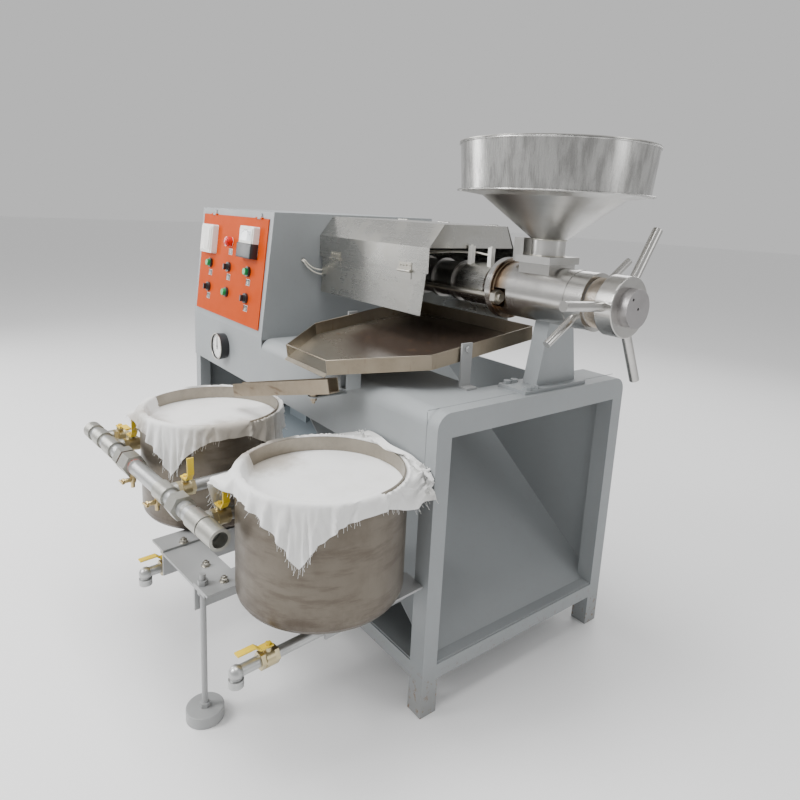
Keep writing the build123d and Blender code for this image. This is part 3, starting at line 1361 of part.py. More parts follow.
for name, part in pieces:
    export_step(part.moved(Location((0, centre_shift, 0))), f"parts/{name}.step")
    print(name, len(part.solids()), round(part.volume))
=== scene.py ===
import random
from math import atan2, cos, hypot, pi, radians, sin, tan

import bpy
from mathutils import Matrix, Vector


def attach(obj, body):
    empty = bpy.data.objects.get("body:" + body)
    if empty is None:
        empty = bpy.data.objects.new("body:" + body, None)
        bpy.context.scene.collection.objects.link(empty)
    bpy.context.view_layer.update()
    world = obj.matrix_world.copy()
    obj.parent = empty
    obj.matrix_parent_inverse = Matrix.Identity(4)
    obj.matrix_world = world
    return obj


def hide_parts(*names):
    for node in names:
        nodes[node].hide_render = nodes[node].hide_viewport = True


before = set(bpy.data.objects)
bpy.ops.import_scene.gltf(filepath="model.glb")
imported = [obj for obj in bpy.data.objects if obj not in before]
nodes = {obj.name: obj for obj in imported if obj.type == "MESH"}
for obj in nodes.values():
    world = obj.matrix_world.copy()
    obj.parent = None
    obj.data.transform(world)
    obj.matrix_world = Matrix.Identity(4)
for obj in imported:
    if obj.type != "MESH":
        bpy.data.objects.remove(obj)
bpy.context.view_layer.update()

# Places are written in millimetres from the machine's own base, as in the part's source, whose origin
# was moved back to the middle of the whole box.
centre_shift = 18.0
deck = 672.0
base_front = -95.0
cabinet_right = -210.0
lean = atan2(39.0, 353.0)
panel_face = 3.3
panel_out = Vector((0, -cos(lean), sin(lean)))
screw_y = 233.0
screw_z = 884.0
hopper_x = 513.0
lamp_x = -475.0
meter_x = -330.0
instrument_z = 926.0
gauge_x = -477.0
gauge_z = 600.0
group_x = 429.0
group_y = -266.0
group_turn = radians(5)
manifold_y = -196.0
manifold_z = 455.0
drum_radius = 165.0
rim_top = 555.0
plate_top = 529.0
cloth_side = 440.0
cloth_thickness = 0.8
cloth_cells = 80


def at(x, y, z):
    """Point of the machine in metres."""
    return Vector((x, y + centre_shift, z)) / 1000


def in_group(x, y, z):
    """Point given in the filter group's own turned frame."""
    turned_x = group_x + x * cos(group_turn) - y * sin(group_turn)
    turned_y = group_y + x * sin(group_turn) + y * cos(group_turn)
    return at(turned_x, turned_y, z)


def on_panel(x, z, out=0.0):
    """Point above the leaning front of the control panel."""
    y = base_front + tan(lean) * (z - deck)
    return at(x, y - out * cos(lean), z + out * sin(lean))


def round_screw(x, radius, angle):
    """Point on a circle about the screw's axis, the angle counted from straight ahead in y."""
    return at(x, screw_y + radius * cos(angle), screw_z + radius * sin(angle))


def round_hopper(radius, height, angle):
    """Point on a circle about the hopper's upright axis."""
    return at(hopper_x + radius * cos(angle), screw_y + radius * sin(angle), height)


def linked(name, data):
    """New object in the scene, at the origin."""
    thing = bpy.data.objects.new(name, data)
    bpy.context.scene.collection.objects.link(thing)
    return thing


camera = linked("camera", bpy.data.cameras.new("camera"))
bpy.context.scene.camera = camera
camera.data.sensor_width = 36.0
camera.data.lens = 28.318
camera.data.shift_x = -0.00564
camera.data.shift_y = -0.06994
camera.data.clip_start = 0.05
look = Matrix.Rotation(radians(51.734), 4, "Z") @ Matrix.Rotation(radians(90 - 11.932), 4, "X")
roll = Matrix.Rotation(radians(2.86), 4, "Z")
camera.matrix_world = Matrix.Translation(at(1406.72, -853.84, 1046.04)) @ look @ roll


class Link:
    """A socket inside a finish, so that a sum of sockets reads as a sum."""

    def __init__(self, finish, socket):
        self.finish = finish
        self.socket = socket

    def work(self, operation, first, second):
        return self.finish.add("ShaderNodeMath", {"operation": operation}, {0: first, 1: second})

    def __add__(self, other):
        return self.work("ADD", self, other)

    def __radd__(self, other):
        return self.work("ADD", other, self)

    def __sub__(self, other):
        return self.work("SUBTRACT", self, other)

    def __rsub__(self, other):
        return self.work("SUBTRACT", other, self)

    def __mul__(self, other):
        return self.work("MULTIPLY", self, other)

    def __rmul__(self, other):
        return self.work("MULTIPLY", other, self)


def shaded(colour, share):
    """The same colour, darker or lighter by a share, with no channel past full."""
    return tuple(min(1.0, share * channel) for channel in colour)


class Finish:
    """A procedural finish: one shader fed by patterns on object coordinates."""

    def __init__(self, name, roughness=0.5, metallic=0.0, coat=0.0):
        self.material = bpy.data.materials.new(name)
        self.material.use_nodes = True
        self.tree = self.material.node_tree
        self.shader = self.tree.nodes["Principled BSDF"]
        self.set("Roughness", roughness)
        self.set("Metallic", metallic)
        self.set("Coat Weight", coat)
        self.place = self.add("ShaderNodeTexCoord", {}, {}, "Object")
        split = self.add("ShaderNodeSeparateXYZ", {}, {0: self.place}).socket.node
        self.x, self.y, self.z = [Link(self, socket) for socket in split.outputs]

    def add(self, kind, settings, inputs, output=0):
        """Any node, with its settings first and then its sockets' values or links."""
        node = self.tree.nodes.new(kind)
        for key, value in settings.items():
            setattr(node, key, value)
        for key, value in inputs.items():
            if isinstance(value, Link):
                self.tree.links.new(value.socket, node.inputs[key])
            else:
                node.inputs[key].default_value = value
        return Link(self, node.outputs[output])

    def set(self, socket, value):
        """Plain value of one of the shader's sockets."""
        self.shader.inputs[socket].default_value = value

    def feed(self, socket, value):
        """Pattern that drives one of the shader's sockets."""
        self.tree.links.new(value.socket, self.shader.inputs[socket])

    def stretched(self, x, y, z, place=None):
        """Object coordinates, or another place, scaled along each axis."""
        return self.add("ShaderNodeMapping", {}, {"Vector": place or self.place, "Scale": (x, y, z)})

    def noise(self, scale, detail=5.0, roughness=0.55, place=None):
        inputs = {"Vector": place or self.place, "Scale": scale, "Detail": detail, "Roughness": roughness}
        return self.add("ShaderNodeTexNoise", {}, inputs)

    def cells(self, scale):
        return self.add("ShaderNodeTexVoronoi", {}, {"Vector": self.place, "Scale": scale})

    def ridges(self, scale, direction):
        """Even ridges across one axis."""
        inputs = {"Vector": self.place, "Scale": scale, "Detail": 2.0}
        return self.add("ShaderNodeTexWave", {"bands_direction": direction}, inputs, 1)

    def rise(self, value, low, high):
        """0 below low and 1 above high, with a soft step between."""
        return self.add("ShaderNodeMapRange", {"interpolation_type": "SMOOTHSTEP"},
                        {0: value, 1: low, 2: high, 3: 0.0, 4: 1.0})

    def within(self, value, low, high, soft):
        """1 between low and high, with a soft step at each."""
        return self.rise(value, low - soft, low + soft) * (1 - self.rise(value, high - soft, high + soft))

    def mixed(self, share, first, second):
        """Second colour over the first by a share."""
        ends = [c if isinstance(c, Link) else (*c, 1.0) for c in (first, second)]
        return self.add("ShaderNodeMix", {"data_type": "RGBA"}, {0: share, 6: ends[0], 7: ends[1]}, 2)

    def normal(self):
        return self.add("ShaderNodeNewGeometry", {}, {}, "Normal")

    def vector(self, operation, first, second):
        """Number that a vector operation gives for two vectors."""
        return self.add("ShaderNodeVectorMath", {"operation": operation}, {0: first, 1: second}, "Value")

    def edges(self, radius):
        """Share of bare edge: how far the rounded normal leaves the true one."""
        soft = self.add("ShaderNodeBevel", {"samples": 4}, {"Radius": radius})
        return 1 - self.rise(self.vector("DOT_PRODUCT", soft, self.normal()), 0.80, 0.985)

    def distance(self, centre):
        return self.vector("DISTANCE", self.place, centre)

    def bump(self, height, distance, strength):
        self.feed("Normal", self.add("ShaderNodeBump", {},
                                     {"Height": height, "Distance": distance, "Strength": strength}))


def painted(name, colour, chip, roughness, worn, dirt):
    """Workshop paint: faint orange peel, soiled patches, and edges worn to the primer."""
    finish = Finish(name)
    patches = finish.noise(7.0, 6.0, 0.6)
    fine = finish.noise(420.0, 2.0)
    base = finish.mixed(finish.rise(patches, 0.42, 0.72) * dirt, colour, shaded(colour, 0.80))
    scuffs = finish.rise(finish.noise(38.0, 8.0, 0.7), 0.66, 0.74)
    base = finish.mixed(scuffs * 0.35 * worn, base, shaded(colour, 1.25))
    bare = finish.edges(0.0022) * finish.rise(finish.noise(60.0, 4.0), 0.50, 0.62) * worn
    finish.feed("Base Color", finish.mixed(bare, base, chip))
    finish.feed("Roughness", patches * 0.18 + (roughness - 0.09))
    finish.bump(fine + finish.noise(900.0, 1.0) * 0.3, 0.00012, 0.5)
    return finish


def cast(name, colour, metallic, roughness):
    """Cast or galvanised skin: spangled, slightly pitted, dull in patches."""
    finish = Finish(name, metallic=metallic)
    spangle = finish.cells(140.0)
    patches = finish.noise(24.0, 6.0, 0.6)
    base = finish.mixed(finish.rise(patches, 0.35, 0.7) * 0.45, colour, shaded(colour, 0.68))
    finish.feed("Base Color", finish.mixed(spangle * 0.25, base, shaded(colour, 1.2)))
    finish.feed("Roughness", patches * 0.25 + (roughness - 0.12))
    finish.bump(patches + spangle * 0.4, 0.0003, 0.5)
    return finish


def moulded(name, colour, roughness, coat=0.0):
    """Moulded plastic or glazed ceramic with a fine texture and handling marks."""
    finish = Finish(name, coat=coat)
    marks = finish.rise(finish.noise(55.0, 6.0, 0.65), 0.5, 0.75)
    finish.feed("Base Color", finish.mixed(marks * 0.25, colour, tuple(0.7 * c + 0.02 for c in colour)))
    finish.feed("Roughness", marks * 0.15 + (roughness - 0.03))
    finish.bump(finish.noise(700.0, 2.0), 0.00006, 0.4)
    return finish


grey = (0.275, 0.292, 0.300)
primer = (0.16, 0.15, 0.145)
rust = (0.20, 0.105, 0.05)


def make_grey_paint():
    """Cool grey paint of base, cabinet and brackets, soiled low down and worn at the feet."""
    finish = Finish("grey_paint")
    patches = finish.noise(5.0, 6.0, 0.6)
    fine = finish.noise(520.0, 2.0)
    base = finish.mixed(finish.rise(patches, 0.40, 0.72) * 0.30, grey, (0.225, 0.236, 0.240))
    streaks = finish.noise(1.0, 4.0, 0.6, finish.stretched(42.0, 42.0, 2.5))
    base = finish.mixed(finish.rise(streaks, 0.56, 0.78) * 0.16, base, (0.26, 0.25, 0.235))
    scuffs = finish.rise(finish.noise(46.0, 9.0, 0.72), 0.67, 0.75)
    base = finish.mixed(scuffs * 0.30, base, (0.42, 0.43, 0.435))
    low = 1 - finish.rise(finish.z, 0.02, 0.13)
    chips = finish.rise(finish.noise(75.0, 6.0, 0.66), 0.57, 0.62) * (low * 0.75 + 0.03)
    worn = finish.edges(0.0024) * finish.rise(finish.noise(70.0, 5.0), 0.55, 0.66) * 0.55
    base = finish.mixed(low * finish.rise(patches, 0.30, 0.65) * 0.35, base, (0.20, 0.18, 0.155))
    base = finish.mixed(worn, base, (0.24, 0.225, 0.21))
    finish.feed("Base Color", finish.mixed(chips, base, rust))
    finish.feed("Roughness", patches * 0.20 + 0.36 + chips * 0.3)
    finish.set("Specular IOR Level", 0.35)
    finish.bump(fine * 0.5 + finish.noise(1100.0, 1.0) * 0.2 - chips * 0.8 - worn * 0.4, 0.00018, 0.55)
    return finish


def make_orange_paint():
    """Orange powder coat of the hinged panel, with a finer dimple than the grey paint."""
    finish = Finish("orange_powder_coat")
    dimples = finish.cells(900.0)
    patches = finish.noise(14.0, 5.0, 0.6)
    dull = finish.rise(patches, 0.4, 0.75) * 0.28
    base = finish.mixed(dull, (0.46, 0.052, 0.0002), (0.36, 0.036, 0.0002))
    marks = finish.rise(finish.noise(90.0, 8.0, 0.7), 0.68, 0.74)
    base = finish.mixed(marks * 0.15, base, (0.55, 0.11, 0.02))
    worn = finish.edges(0.0012) * 0.7
    finish.feed("Base Color", finish.mixed(worn, base, (0.30, 0.05, 0.02)))
    finish.feed("Roughness", patches * 0.16 + 0.46)
    finish.set("Specular IOR Level", 0.08)
    finish.bump(dimples, 0.0001, 0.35)
    return finish


def make_hood_steel():
    """Satin stainless sheet: a brushed grain along x, wiped marks and bright rub marks at the folds."""
    colour = (0.52, 0.515, 0.49)
    tint = (0.37, 0.35, 0.30)
    stain = 0.5
    finish = Finish("hood_steel", metallic=1.0)
    grain = finish.noise(1.0, 6.0, 0.65, finish.stretched(3.0, 420.0, 420.0))
    cloud = finish.rise(finish.noise(8.0, 6.0, 0.62), 0.40, 0.72)
    wiped = finish.rise(finish.noise(1.0, 5.0, 0.6, finish.stretched(9.0, 9.0, 30.0)), 0.52, 0.74)
    base = finish.mixed(cloud * stain, colour, tint)
    base = finish.mixed(grain * 0.35, base, shaded(colour, 0.74))
    base = finish.mixed(wiped * 0.30 * stain, base, shaded(tint, 0.62))
    bright = finish.edges(0.0012) * 0.5
    finish.feed("Base Color", finish.mixed(bright, base, (0.82, 0.81, 0.78)))
    finish.feed("Roughness", grain * 0.16 + cloud * 0.12 + 0.17)
    finish.bump(grain, 0.00004, 0.3)
    return finish


def make_hopper_steel():
    """Spun and rolled hopper sheet: fine vertical mill streaks round the pan, broad light and dark bands
    round it that are painted reflections, and rings round the cone.
    """
    finish = Finish("hopper_steel", metallic=1.0)
    middle = at(hopper_x, screw_y, 0)
    dx = finish.x - middle.x
    dy = finish.y - middle.y
    around = finish.add("ShaderNodeMath", {"operation": "ARCTAN2"}, {0: dy, 1: dx})
    turned = finish.add("ShaderNodeCombineXYZ", {}, {0: around, 1: finish.z * 1.2, 2: 0.0})
    reflection_bands = finish.noise(9.0, 5.0, 0.6, turned)
    fine = finish.noise(95.0, 3.0, 0.6, finish.stretched(1.0, 0.25, 1.0, turned))
    rings = finish.noise(1.0, 4.0, 0.6, finish.stretched(6.0, 6.0, 380.0))
    pan = finish.rise(finish.z, 1.090, 1.098)
    grain = fine * pan + rings * (1 - pan)
    # The broad light and dark vertical bands round the pan are painted reflections, not marks in the steel.
    base = finish.mixed(finish.rise(reflection_bands, 0.38, 0.66) * pan, (0.56, 0.555, 0.54), (0.33, 0.325, 0.315))
    dull = finish.rise(finish.noise(11.0, 6.0, 0.6), 0.42, 0.70) * 0.45 * (1 - pan)
    base = finish.mixed(dull, base, (0.34, 0.32, 0.285))
    base = finish.mixed(grain * 0.25, base, (0.40, 0.40, 0.39))
    seam = finish.within(around, -2.42, -2.408, 0.003) * pan
    finish.feed("Base Color", finish.mixed(seam * 0.8, base, (0.22, 0.21, 0.19)))
    finish.feed("Roughness", grain * 0.14 + 0.20 + (1 - pan) * 0.04)
    finish.bump(grain * 0.6 + finish.rise(reflection_bands, 0.3, 0.7) * 0.6 * pan - seam * 2.0, 0.0002, 0.35)
    return finish


def make_tray_steel():
    """Oil tray: straw-coloured walls, and a floor stained dark brown by oil under the barrel."""
    finish = Finish("oiled_tray", metallic=0.85)
    grain = finish.noise(1.0, 5.0, 0.6, finish.stretched(5.0, 260.0, 260.0))
    patches = finish.noise(9.0, 7.0, 0.66)
    spread = finish.noise(4.0, 4.0, 0.55)
    film = finish.rise(patches, 0.40, 0.70) * 0.55
    base = finish.mixed(film, (0.260, 0.222, 0.168), (0.160, 0.126, 0.086))
    centre = finish.distance(at(230, 120, 730))
    pool = 1 - finish.rise(centre + spread * 0.22 + patches * 0.10, 0.30, 0.46)
    floor = finish.rise(finish.add("ShaderNodeSeparateXYZ", {}, {0: finish.normal()}, 2), 0.6, 0.9)
    pool = pool * floor
    base = finish.mixed(floor * 0.5, base, (0.27, 0.26, 0.225))
    base = finish.mixed(pool * 0.94, base, (0.035, 0.022, 0.016))
    drips = finish.rise(finish.noise(1.0, 4.0, 0.6, finish.stretched(60.0, 60.0, 9.0)), 0.60, 0.72)
    base = finish.mixed(drips * 0.45, base, (0.15, 0.085, 0.045))
    finish.feed("Base Color", finish.mixed(finish.edges(0.0015) * 0.5, base, (0.52, 0.48, 0.40)))
    finish.feed("Roughness", patches * 0.22 + 0.22 - pool * 0.12)
    finish.feed("Metallic", 0.85 - pool * 0.65)
    finish.bump(grain * 0.5 + patches * 0.6, 0.0002, 0.4)
    return finish


def make_trough_steel():
    """Folded run-off trough: dull, oily stainless with brown runs along its floor."""
    finish = Finish("oiled_trough", metallic=0.8)
    patches = finish.noise(16.0, 7.0, 0.66)
    runs = finish.noise(1.0, 5.0, 0.6, finish.stretched(7.0, 60.0, 60.0))
    film = finish.rise(patches, 0.38, 0.70) * 0.5
    base = finish.mixed(film, (0.320, 0.268, 0.200), (0.200, 0.154, 0.104))
    base = finish.mixed(finish.rise(runs, 0.58, 0.72) * 0.6, base, (0.120, 0.074, 0.042))
    finish.feed("Base Color", finish.mixed(finish.edges(0.0015) * 0.45, base, (0.54, 0.49, 0.41)))
    finish.feed("Roughness", patches * 0.25 + 0.22)
    finish.bump(patches + runs * 0.4, 0.00018, 0.4)
    return finish


def make_turned_steel(name, colour, roughness, heat=0.0):
    """Lathe-turned steel about the screw's axis, with straw and brown heat tint by the flange."""
    finish = Finish(name, metallic=1.0)
    rings = finish.noise(1.0, 4.0, 0.7, finish.stretched(900.0, 4.0, 4.0))
    patches = finish.noise(20.0, 6.0, 0.62)
    dark = finish.rise(patches, 0.44, 0.72)
    base = finish.mixed(dark * 0.35, colour, shaded(colour, 0.55))
    base = finish.mixed(rings * 0.20, base, shaded(colour, 0.75))
    if heat:
        place = finish.x + finish.noise(26.0, 4.0) * 0.030
        tint = (1 - finish.rise(place, 0.436, 0.478)) * finish.rise(place, 0.424, 0.434)
        base = finish.mixed(tint * heat, base, (0.30, 0.185, 0.085))
        scorch = finish.within(place, 0.4315, 0.4405, 0.003)
        base = finish.mixed(scorch * heat * 0.9, base, (0.085, 0.05, 0.03))
    finish.feed("Base Color", finish.mixed(finish.edges(0.0012) * 0.45, base, (0.78, 0.77, 0.75)))
    finish.feed("Roughness", rings * 0.12 + patches * 0.14 + (roughness - 0.12))
    finish.bump(rings, 0.00006, 0.5)
    return finish


def make_drum_steel():
    """Filter drum sheet, brown-tinted by old oil, with drips down from the rim."""
    finish = Finish("soiled_drum", metallic=0.6)
    grain = finish.noise(1.0, 5.0, 0.6, finish.stretched(8.0, 8.0, 300.0))
    smears = finish.noise(1.0, 6.0, 0.66, finish.stretched(9.0, 9.0, 46.0))
    patches = finish.noise(8.0, 7.0, 0.66)
    runs = finish.noise(1.0, 5.0, 0.62, finish.stretched(34.0, 34.0, 2.2))
    film = finish.rise(patches, 0.38, 0.72) * 0.7
    base = finish.mixed(film, (0.150, 0.130, 0.104), (0.095, 0.076, 0.056))
    base = finish.mixed(finish.rise(smears, 0.46, 0.66) * 0.50, base, (0.070, 0.052, 0.037))
    base = finish.mixed(finish.rise(runs, 0.62, 0.78) * 0.40, base, (0.060, 0.042, 0.028))
    low = 1 - finish.rise(finish.z, 0.310, 0.375)
    base = finish.mixed(low * finish.rise(patches, 0.35, 0.62) * 0.7, base, (0.045, 0.030, 0.020))
    finish.feed("Base Color", base)
    finish.feed("Roughness", patches * 0.28 + 0.24)
    finish.bump(grain * 0.4 + smears, 0.00025, 0.45)
    return finish


def make_belt_rubber():
    """Black belt rubber, ribbed across and dusty."""
    finish = Finish("belt_rubber", roughness=0.62)
    dust = finish.rise(finish.noise(60.0, 6.0, 0.65), 0.46, 0.72)
    finish.feed("Base Color", finish.mixed(dust * 0.45, (0.022, 0.022, 0.022), (0.10, 0.097, 0.09)))
    finish.feed("Roughness", dust * 0.2 + 0.52)
    finish.bump(finish.noise(1300.0, 2.0) + finish.ridges(240.0, "X") * 0.3, 0.00015, 0.5)
    return finish


def make_cable_sheath():
    """Silicone-glass sheath: cream, slightly waxy, with a fine braid and handling dirt."""
    finish = Finish("cable_sheath", roughness=0.42)
    braid = finish.noise(1500.0, 1.0)
    dirt = finish.rise(finish.noise(45.0, 5.0), 0.48, 0.74)
    finish.feed("Base Color", finish.mixed(dirt * 0.45, (0.74, 0.72, 0.64), (0.50, 0.46, 0.37)))
    finish.feed("Roughness", dirt * 0.2 + 0.36)
    finish.bump(braid, 0.0001, 0.4)
    return finish


def make_filter_cloth(name, soil):
    """White filter canvas: a plain weave about half a millimetre apart, soiled where oil ran."""
    finish = Finish(name, roughness=0.86)
    chart = finish.add("ShaderNodeUVMap", {}, {})
    threads = 2 * pi * cloth_side / 1.1
    waves = []
    for axis in (1, 0):
        along = finish.add("ShaderNodeSeparateXYZ", {}, {0: chart}, axis)
        waves.append(finish.add("ShaderNodeMath", {"operation": "SINE"}, {0: along * threads}))
    weave = waves[0] * waves[1]
    patches = finish.noise(14.0, 7.0, 0.66)
    soft = finish.noise(40.0, 4.0, 0.6)
    aged = finish.rise(patches, 0.45, 0.75) * 0.35
    base = finish.mixed(aged, (0.80, 0.80, 0.785), (0.60, 0.585, 0.54))
    base = finish.mixed(finish.rise(weave, -0.2, 0.9) * 0.10, base, (0.90, 0.90, 0.885))
    for centre, reach in soil:
        spot = 1 - finish.rise(finish.distance(centre) + soft * 0.06, reach * 0.55, reach)
        base = finish.mixed(spot * 0.75, base, (0.27, 0.225, 0.165))
    finish.feed("Base Color", base)
    finish.set("Sheen Weight", 0.25)
    finish.set("Sheen Roughness", 0.5)
    finish.bump(weave * 0.6 + soft * 0.5, 0.0002, 0.5)
    return finish


grey_paint = make_grey_paint()
orange_paint = make_orange_paint()
hood_steel = make_hood_steel()
hoop_steel = cast("hoop_steel", (0.30, 0.27, 0.225), 0.75, 0.40)
bracket_paint = painted("bracket_paint", (0.33, 0.335, 0.335), primer, 0.40, 0.5, 0.35)
hopper_steel = make_hopper_steel()
tray_steel = make_tray_steel()
trough_steel = make_trough_steel()
housing_steel = make_turned_steel("turned_steel", (0.52, 0.51, 0.49), 0.22, 0.85)
barrel_steel = make_turned_steel("barrel_steel", (0.40, 0.39, 0.375), 0.30)
worm_steel = make_turned_steel("worm_steel", (0.42, 0.38, 0.33), 0.34)
zinc_steel = cast("zinc_steel", (0.52, 0.50, 0.445), 1.0, 0.34)
galvanised = cast("galvanised", (0.44, 0.445, 0.44), 0.8, 0.38)
fitting_zinc = cast("fitting_zinc", (0.40, 0.395, 0.36), 0.85, 0.38)
valve_brass = cast("valve_brass", (0.50, 0.43, 0.26), 0.95, 0.34)
drum_steel = make_drum_steel()
cast_iron = cast("cast_iron", (0.12, 0.122, 0.125), 0.35, 0.55)
motor_paint = painted("motor_paint", (0.20, 0.235, 0.26), primer, 0.45, 0.5, 0.4)
pump_paint = painted("pump_paint", (0.055, 0.065, 0.075), (0.22, 0.2, 0.17), 0.42, 0.6, 0.4)
yellow_paint = painted("yellow_paint", (0.80, 0.56, 0.03), (0.42, 0.38, 0.25), 0.38, 0.9, 0.35)
belt_rubber = make_belt_rubber()
white_plastic = moulded("white_plastic", (0.77, 0.76, 0.72), 0.38)
black_plastic = moulded("black_plastic", (0.024, 0.024, 0.026), 0.34)
green_plastic = moulded("green_plastic", (0.004, 0.29, 0.085), 0.34)
white_ceramic = moulded("white_ceramic", (0.82, 0.81, 0.76), 0.22, 0.5)
cable_sheath = make_cable_sheath()
end_steel = make_turned_steel("end_cap_steel", (0.40, 0.385, 0.385), 0.42)

dressed = [
    (grey_paint, "base_shell lower_frame cake_chute cabinet_shell housing_pedestal trough_arm"),
    (orange_paint, "control_panel"),
    (white_plastic, "panel_instruments"),
    (black_plastic, "switch_bezels selector_1 selector_2 selector_3 vacuum_gauge gauge_needle"),
    (green_plastic, "green_button_1 green_button_2 green_button_3"),
    (motor_paint, "gearbox_casing motor_body"),
    (cast_iron, "gearbox_pulley motor_pulley"),
    (belt_rubber, "v_belts"),
    (barrel_steel, "press_barrel"),
    (white_ceramic, "ceramic_terminals"),
    (zinc_steel, "tie_rods flap_hinges filter_plates"),
    (housing_steel, "feed_housing lock_nut adjusting_nut"),
    (end_steel, "end_cap"),
    (worm_steel, "press_screw"),
    (tray_steel, "oil_tray"),
    (trough_steel, "swivel_trough"),
    (bracket_paint, "tray_bracket drum_arms leveling_leg"),
    (hopper_steel, "hopper"),
    (hood_steel, "heater_band hopper_lid hood_rear_panel hood_cover hood_flap"),
    (drum_steel, "filter_drums"),
    (hoop_steel, "hold_down_hoops"),
    (galvanised, "manifold_pipes drain_pipes"),
    (fitting_zinc, "pipe_fittings"),
    (valve_brass, "valve_bodies"),
    (yellow_paint, "lever_bleed lever_far lever_pump lever_near drain_lever_near drain_lever_far"),
    (pump_paint, "vacuum_pump"),
]
for finish, names in dressed:
    for name in names.split():
        for slot in nodes[name].material_slots:
            slot.material = finish.material


def alone():
    """Leave edit mode and deselect everything, because the frame leaves its nodes selected."""
    if bpy.context.object and bpy.context.object.mode != "OBJECT":
        bpy.ops.object.mode_set(mode="OBJECT")
    bpy.ops.object.select_all(action="DESELECT")


def pick(piece):
    """Make one piece the only selected one, and active."""
    alone()
    piece.select_set(True)
    bpy.context.view_layer.objects.active = piece


def settle(location=True):
    """Put the picked piece's place, turn and size into its mesh."""
    bpy.ops.object.transform_apply(location=location, rotation=True, scale=True)


def finished(piece, name, body, finish, smooth=30):
    """Name a piece, settle its place in its mesh, and let it ride on its body."""
    pick(piece)
    settle()
    if smooth:
        bpy.ops.object.shade_smooth_by_angle(angle=radians(smooth))
    piece.name = name
    piece.data.materials.clear()
    piece.data.materials.append(finish.material)
    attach(piece, body)
    return piece


def apply_all(piece):
    """Apply every modifier of a piece, in their order."""
    pick(piece)
    for modifier in list(piece.modifiers):
        bpy.ops.object.modifier_apply(modifier=modifier.name)


def new_curve(name, radius, rounds, capped=True):
    """Empty curve with a round section, which runs are added to."""
    curve = bpy.data.curves.new(name, "CURVE")
    curve.dimensions = "3D"
    curve.bevel_depth = radius
    curve.bevel_resolution = rounds
    curve.use_fill_caps = capped
    return curve


def add_run(curve, kind, places):
    """One line of a curve through its places; a smooth one starts and ends on them."""
    line = curve.splines.new(kind)
    line.points.add(len(places) - 1)
    for point, place in zip(line.points, places):
        point.co = (*place, 1.0)
    if kind == "NURBS":
        line.order_u = 3
        line.use_endpoint_u = True
    return line


def meshed(piece):
    """A curve or a text as a mesh."""
    pick(piece)
    bpy.ops.object.convert(target="MESH")
    return bpy.context.object


def block(location, scale, rotation=(0, 0, 0)):
    """Box of a size in metres about a place, the start of a piece."""
    alone()
    bpy.ops.mesh.primitive_cube_add(size=1, location=location, rotation=rotation, scale=scale)
    return bpy.context.object


def make_cable(name, route):
    """Heater cable of 4 mm as one smooth spline through its route."""
    curve = new_curve(name + "_line", 0.002, 4)
    curve.resolution_u = 16
    add_run(curve, "NURBS", [at(*place) for place in route])
    cord = linked(name + "_cord", curve)
    curve.materials.append(cable_sheath.material)
    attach(cord, "frame")
    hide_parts(name)
    at(*route[0])


# Both cables leave the hole in the cabinet's wall, hang in a loop, run behind the flap over the barrel
# and end at a ceramic terminal of the heater band.
first_route = [(-213, 35.9, 895.5), (-202.5, 35.9, 895.5), (-203.5, 48, 881), (-204, 70, 868),
               (-203, 100, 864), (-186, 132, 876), (-152, 150, 905), (-98, 168, 928), (-42, 166, 940),
               (16, 176, 937), (74, 171, 944), (132, 178, 939), (188, 186, 947), (236, 202, 953),
               (268, 215, 955), (290, 215, 955)]
second_route = [(-213, 32.1, 892.5), (-202.5, 32.1, 892.5), (-203.5, 44, 876), (-204, 68, 858),
                (-203, 102, 850), (-184, 140, 864), (-150, 162, 896), (-98, 178, 936), (-42, 182, 947),
                (16, 190, 950), (74, 185, 945), (132, 192, 949), (188, 199, 951), (240, 214, 956),
                (286, 226.5, 957), (318, 224, 956), (338, 215, 955), (356, 215, 955)]
make_cable("heater_cable_1", first_route)
make_cable("heater_cable_2", second_route)

drum_x = {"near_cloth": 0.0, "far_cloth": -465.0}
corner_way = {"near_cloth": radians(-44), "far_cloth": radians(-52)}
cloth_level = plate_top + 0.5
held_reach = 192.0
# Where the cloth lies, as reach along the sheet, radius and height: clamped under the hoop, or over it.
under_hoop = [(0.0, 0.0, cloth_level), (161.0, 160.5, cloth_level), (187.0, 160.5, rim_top + 2.5),
              (held_reach, 166.5, rim_top + 2.5)]
over_hoop = [(0.0, 0.0, cloth_level), (143.0, 143.0, cloth_level), (177.5, 154.5, rim_top + 7.5),
             (held_reach, 168.5, rim_top + 7.0)]
cloth_settings = {
    "quality": 6, "mass": 0.25, "air_damping": 1.5, "tension_stiffness": 25, "compression_stiffness": 25,
    "shear_stiffness": 6, "bending_stiffness": 2, "tension_damping": 8, "compression_damping": 8,
    "shear_damping": 8, "bending_damping": 1.5, "vertex_group_mass": "held",
}
touch_settings = {"distance_min": 0.0015, "collision_quality": 3, "use_self_collision": True,
                  "self_distance_min": 0.002}


def collide(body):
    """Make a helper that the cloth falls on."""
    body.modifiers.new("stop", "COLLISION")
    body.collision.thickness_outer = 0.0015
    body.collision.cloth_friction = 20
    body.collision.use_culling = False
    return body


